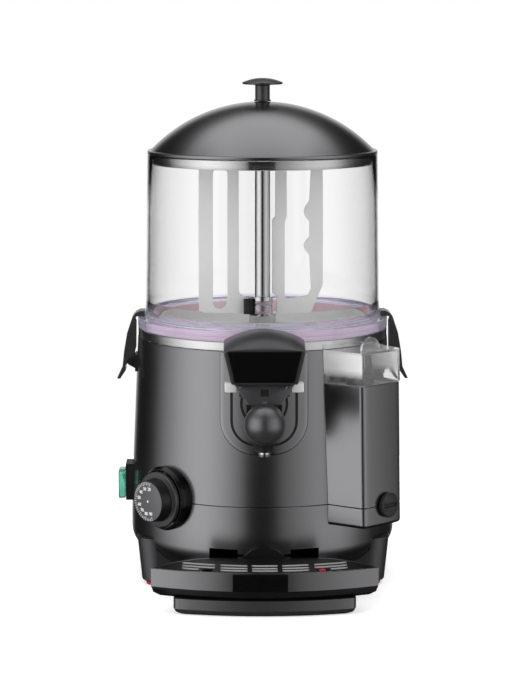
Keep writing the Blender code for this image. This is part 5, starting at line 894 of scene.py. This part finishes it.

# %% [markdown]
# ## Drip tray, grille and stand
# The tray slides forward on the stand. Its front is a wide arc with a chamfered foot. The
# grille over it has three rows of slots. Their walls that face the front are painted light
# grey, a painted highlight where the slots' far walls catch the light. The hole round the
# float keeps the dark finish.

# %% Dress the stand
dress(eased("drip_tray", 0.0007), "drip_tray", "tray", LACQUER)
grille = dress(eased("drip_grille", 0.0004), "drip_grille", "grille", ENAMEL)
grille.data.materials.append(SLOT_HIGHLIGHT)
# Walls that face the front take the light grey, a painted highlight; the float's hole stays dark.
for face in grille.data.polygons:
    hole = math.hypot(abs(face.center.x) - 0.051, face.center.y - AXIS_Y + 0.176) < 0.0062
    face.material_index = int(face.normal.y < -0.6 and not hole)
dress(eased("tray_float", 0.0005), "tray_float", "float", RUBBER)
dress(eased("tray_label", 0.0002), "tray_label", "tray", GLOSS)
dress(eased("front_foot", 0.0007), "front_foot", "machine", PAINTED)
dress(eased("base_frame", 0.0007), "base_frame", "machine", SATIN)
dress(eased("base_cover", 0.0003), "base_cover", "machine", TRIM)
dress(eased("cord_gland", 0.0004, angle=50), "cord_gland", "machine", BLACK)
for name in [n for n in frame["nodes"] if n.startswith("foot_")]:
    dress(eased(name, 0.0005, angle=50), name, "machine", RUBBER)
print("grille:", len(grille.data.polygons), "faces")

# %% [markdown]
# ## The parts inside
# What the case hides still gets a true finish, because the windows and vents show some of it
# and the library's reader may open the machine.

# %% Finish the inner nodes
INSIDE = {"steel_pot": BLASTED, "water_jacket": STEEL, "heater_coil": STEEL,
          "drive_shaft": STEEL,
          "dial_spindle": STEEL, "pivot_pin": POLISHED, "valve_piston": BLACK,
          "return_spring": STEEL, "motor_bracket": STEEL, "gear_motor": CASTING,
          "thermostat_body": BLACK, "terminal_block": NYLON, "water_tank": PADDLE}
for name, finish in INSIDE.items():
    node = frame["nodes"][name]
    node.data.materials.clear()
    node.data.materials.append(finish)
print("inner nodes:", len(INSIDE))

# %% [markdown]
# ## Floor
# A pale round table stands in a pale world. Its paint lifts a little for the camera alone, so
# that it meets the white background and still keeps the machine's shadow.

# %% Lay the floor
FILL, FLOOR_LIFT, FLOOR_REACH = 0.50, 0.45, 0.62
floor_mesh = bpy.data.meshes.new("floor")
turn = np.linspace(0, 2 * np.pi, 96, endpoint=False)
edge = FLOOR_REACH * np.stack([np.cos(turn), np.sin(turn), 0 * turn], axis=1)
floor_mesh.from_pydata(edge.tolist(), [], [list(range(96))])
floor = added("floor", floor_mesh)
plaster, tree, shader = blank("pale_floor_paint", Roughness=0.9)
place = add(tree, "ShaderNodeTexCoord").outputs["Object"]
speck = add(tree, "ShaderNodeTexNoise", {"Vector": place, "Scale": 60.0, "Detail": 3.0})
tint = add(tree, "ShaderNodeMix", {"Factor": speck.outputs["Fac"]}, data_type="RGBA")
tint.inputs["A"].default_value = linear("f4f4f4")
tint.inputs["B"].default_value = linear("f8f8f8")
tree.links.new(tint.outputs["Result"], shader.inputs["Base Color"])
path = add(tree, "ShaderNodeLightPath")
seen = add(tree, "ShaderNodeMath", {0: path.outputs["Is Camera Ray"],
                                    1: path.outputs["Is Transmission Ray"]},
           operation="MAXIMUM")
lift = add(tree, "ShaderNodeMath", {0: seen.outputs["Value"], 1: FLOOR_LIFT},
           operation="MULTIPLY")
shader.inputs["Emission Color"].default_value = (1, 1, 1, 1)
tree.links.new(lift.outputs["Value"], shader.inputs["Emission Strength"])
floor.data.materials.append(plaster)
floor.visible_glossy = False
print("floor:", FLOOR_REACH, "m in radius")

# %% [markdown]
# ## The room that metal mirrors
# A dull metal shows what stands opposite it, so its look is made by the room and not by its
# colour. The camera and clear parts see plain white. Mirrored rays see a drawn room instead:
# dark in front, bright at the left, less bright at the right, and a pale ceiling. Each part is
# a profile, a list of (direction, brightness) stops, set one by one until the case's bands lay
# where they lie on the real machine. Under another light the case looks different.

# %% Draw the room's profiles
world = bpy.data.worlds.new("studio")
bpy.context.scene.world = world
world.use_nodes = True
tree = world.node_tree
sky = tree.nodes["Background"]
path = add(tree, "ShaderNodeLightPath")
direction = add(tree, "ShaderNodeTexCoord").outputs["Generated"]
axes = add(tree, "ShaderNodeSeparateXYZ", {"Vector": direction})


def profile(value, low, high, stops):
    """Brightness along a value, through a ramp with (value, brightness) stops."""
    node = add(tree, "ShaderNodeValToRGB", {"Fac": add(tree, "ShaderNodeMapRange", {
        "Value": value, "From Min": low, "From Max": high}).outputs["Result"]})
    stops = [((place - low) / (high - low), level) for place, level in stops]
    node.color_ramp.elements[0].color = (stops[0][1],) * 3 + (1,)
    node.color_ramp.elements[1].color = (stops[-1][1],) * 3 + (1,)
    for place, level in stops[1:-1]:
        node.color_ramp.elements.new(place).color = (level,) * 3 + (1,)
    return node.outputs["Color"]


facing = add(tree, "ShaderNodeMath", {0: axes.outputs["Y"], 1: -1.0}, operation="MULTIPLY")
azimuth = add(tree, "ShaderNodeMath", {0: axes.outputs["X"], 1: facing.outputs["Value"]},
              operation="ARCTAN2")
degrees = add(tree, "ShaderNodeMath", {0: azimuth.outputs["Value"], 1: math.degrees(1)},
              operation="MULTIPLY")
SIDES = [(-180, 0.02), (-128, 0.02), (-114, 0.06), (-102, 0.36), (-89, 0.68), (-74, 1.04),
         (-60, 1.20), (-47, 1.12), (-35, 0.86), (-24, 0.54), (-18, 0.36), (-14, 0.03),
         (0, 0.02), (11, 0.03), (14, 0.24), (23, 0.36), (35, 0.52), (47, 0.68), (60, 0.74),
         (72, 0.70), (80, 0.56), (89, 0.34), (97, 0.16), (110, 0.06), (125, 0.03),
         (180, 0.02)]
sides = profile(degrees.outputs["Value"], -180, 180, SIDES)
height = profile(axes.outputs["Z"], -1, 1, [(-1, 0.04), (-0.6, 0.08), (-0.42, 0.40),
                                            (-0.25, 1.0), (0.45, 1.0), (0.75, 0.0),
                                            (1, 0.0)])
aside = add(tree, "ShaderNodeMath", {0: axes.outputs["X"]}, operation="ABSOLUTE")
square = add(tree, "ShaderNodeMath", {0: axes.outputs["X"], 1: axes.outputs["X"]},
             operation="MULTIPLY")
back = add(tree, "ShaderNodeMath", {0: square.outputs["Value"], 1: axes.outputs["Y"]},
           operation="ADD")
ceiling = profile(back.outputs["Value"], -1, 1, [
    (-1, 0.0), (-0.6, 0.02), (-0.35, 0.40), (-0.12, 0.74), (0, 0.86), (0.16, 0.96),
    (0.36, 1.04), (0.60, 1.06), (0.66, 0.95), (0.71, 0.60), (0.76, 0.24), (0.81, 0.10),
    (0.88, 0.05), (1, 0.02)])
fall = profile(aside.outputs["Value"], 0, 1, [(0, 1.0), (0.36, 1.0), (0.55, 0.5), (1, 0.2)])
raised = profile(axes.outputs["Z"], 0, 1, [(0, 0.0), (0.35, 0.0), (0.52, 1.0), (1, 1.0)])
above = add(tree, "ShaderNodeMath", {0: ceiling, 1: fall}, operation="MULTIPLY")
above = add(tree, "ShaderNodeMath", {0: above.outputs["Value"], 1: raised},
            operation="MULTIPLY").outputs["Value"]
behind = profile(axes.outputs["Y"], 0, 1, [(0, 0.02), (0.90, 0.02), (0.985, 1.0), (1, 1.0)])
print("room:", len(SIDES), "stops round the machine")

# %% [markdown]
# The brightest of walls, ceiling and back is what a mirrored ray sees. A diffuse ray gets one
# even level, the fill. A ray that comes straight from the camera, or through clear plastic
# without a mirror on its way, gets white.

# %% Join the room's parts
walls = add(tree, "ShaderNodeMath", {0: sides, 1: height}, operation="MULTIPLY")
panel = add(tree, "ShaderNodeMath", {0: walls.outputs["Value"], 1: above},
            operation="MAXIMUM")
panel = add(tree, "ShaderNodeMath", {0: panel.outputs["Value"], 1: behind},
            operation="MAXIMUM")
mirrored = add(tree, "ShaderNodeMath", {0: path.outputs["Glossy Depth"], 1: 1.0},
               operation="MINIMUM")
direct = add(tree, "ShaderNodeMath", {0: 1.0, 1: mirrored.outputs["Value"]},
             operation="SUBTRACT")
through = add(tree, "ShaderNodeMath", {0: path.outputs["Is Transmission Ray"],
                                       1: direct.outputs["Value"]}, operation="MULTIPLY")
seen = add(tree, "ShaderNodeMath", {0: path.outputs["Is Camera Ray"],
                                    1: through.outputs["Value"]}, operation="MAXIMUM")
room = add(tree, "ShaderNodeMix", {"Factor": path.outputs["Is Diffuse Ray"],
                                   "A": panel.outputs["Value"], "B": FILL},
           data_type="FLOAT")
strength = add(tree, "ShaderNodeMix", {"Factor": seen.outputs["Value"],
                                       "A": room.outputs["Result"], "B": 1.0},
               data_type="FLOAT")
sky.inputs["Color"].default_value = (1, 1, 1, 1)
tree.links.new(strength.outputs["Result"], sky.inputs["Strength"])
print("world:", len(tree.nodes), "nodes")

# %% [markdown]
# ## Lamps and camera
# Two tall softboxes stand before the machine, left and right, and a third lies above it. They
# light it and cast its shadow, but they are hidden from mirrored rays. The camera stands
# where the picture's was worked out to be: 2.2 m away and half a metre high.

# %% Hang the lamps
def softbox(name, azimuth, distance, height, size, radiance):
    """Rectangular lamp aimed at the machine. Its power is radiance * area * pi."""
    lamp = bpy.data.lights.new(name, "AREA")
    lamp.shape = "RECTANGLE"
    lamp.size, lamp.size_y = size
    lamp.energy = radiance * size[0] * size[1] * math.pi
    stand = bpy.data.objects.new(name, lamp)
    bpy.context.scene.collection.objects.link(stand)
    place = Vector(out_from(azimuth) * distance + [0, AXIS_Y, height])
    stand.location = place
    aim = Vector((0, AXIS_Y, 0.24)) - place
    stand.rotation_euler = aim.to_track_quat("-Z", "Y").to_euler()
    stand.visible_glossy = stand.visible_transmission = False
    return stand


softbox("left softbox", -55, 1.7, 0.55, (1.5, 1.9), 2.3)
softbox("right softbox", 50, 1.7, 0.55, (1.3, 1.9), 1.8)
softbox("top softbox", 180, 0.2, 1.75, (2.2, 1.9), 1.3)
print("lamps:", len(bpy.data.lights))

# %% Place the camera
CAMERA_TURN, CAMERA_DISTANCE, CAMERA_Z, PITCH = -0.7, 2.198, 0.538, 0.147
camera = bpy.data.cameras.new("camera")
camera.sensor_fit, camera.sensor_width, camera.lens = "HORIZONTAL", 36, 160.1
viewer = bpy.data.objects.new("camera", camera)
bpy.context.scene.collection.objects.link(viewer)
viewer.location = Vector(out_from(CAMERA_TURN) * CAMERA_DISTANCE + [0, AXIS_Y, CAMERA_Z])
viewer.rotation_euler = (math.pi / 2 - PITCH, 0, math.radians(CAMERA_TURN))
bpy.context.scene.camera = viewer
bpy.context.scene.view_settings.view_transform = "Standard"
print("camera:", CAMERA_DISTANCE, "m away,", CAMERA_Z, "m high")
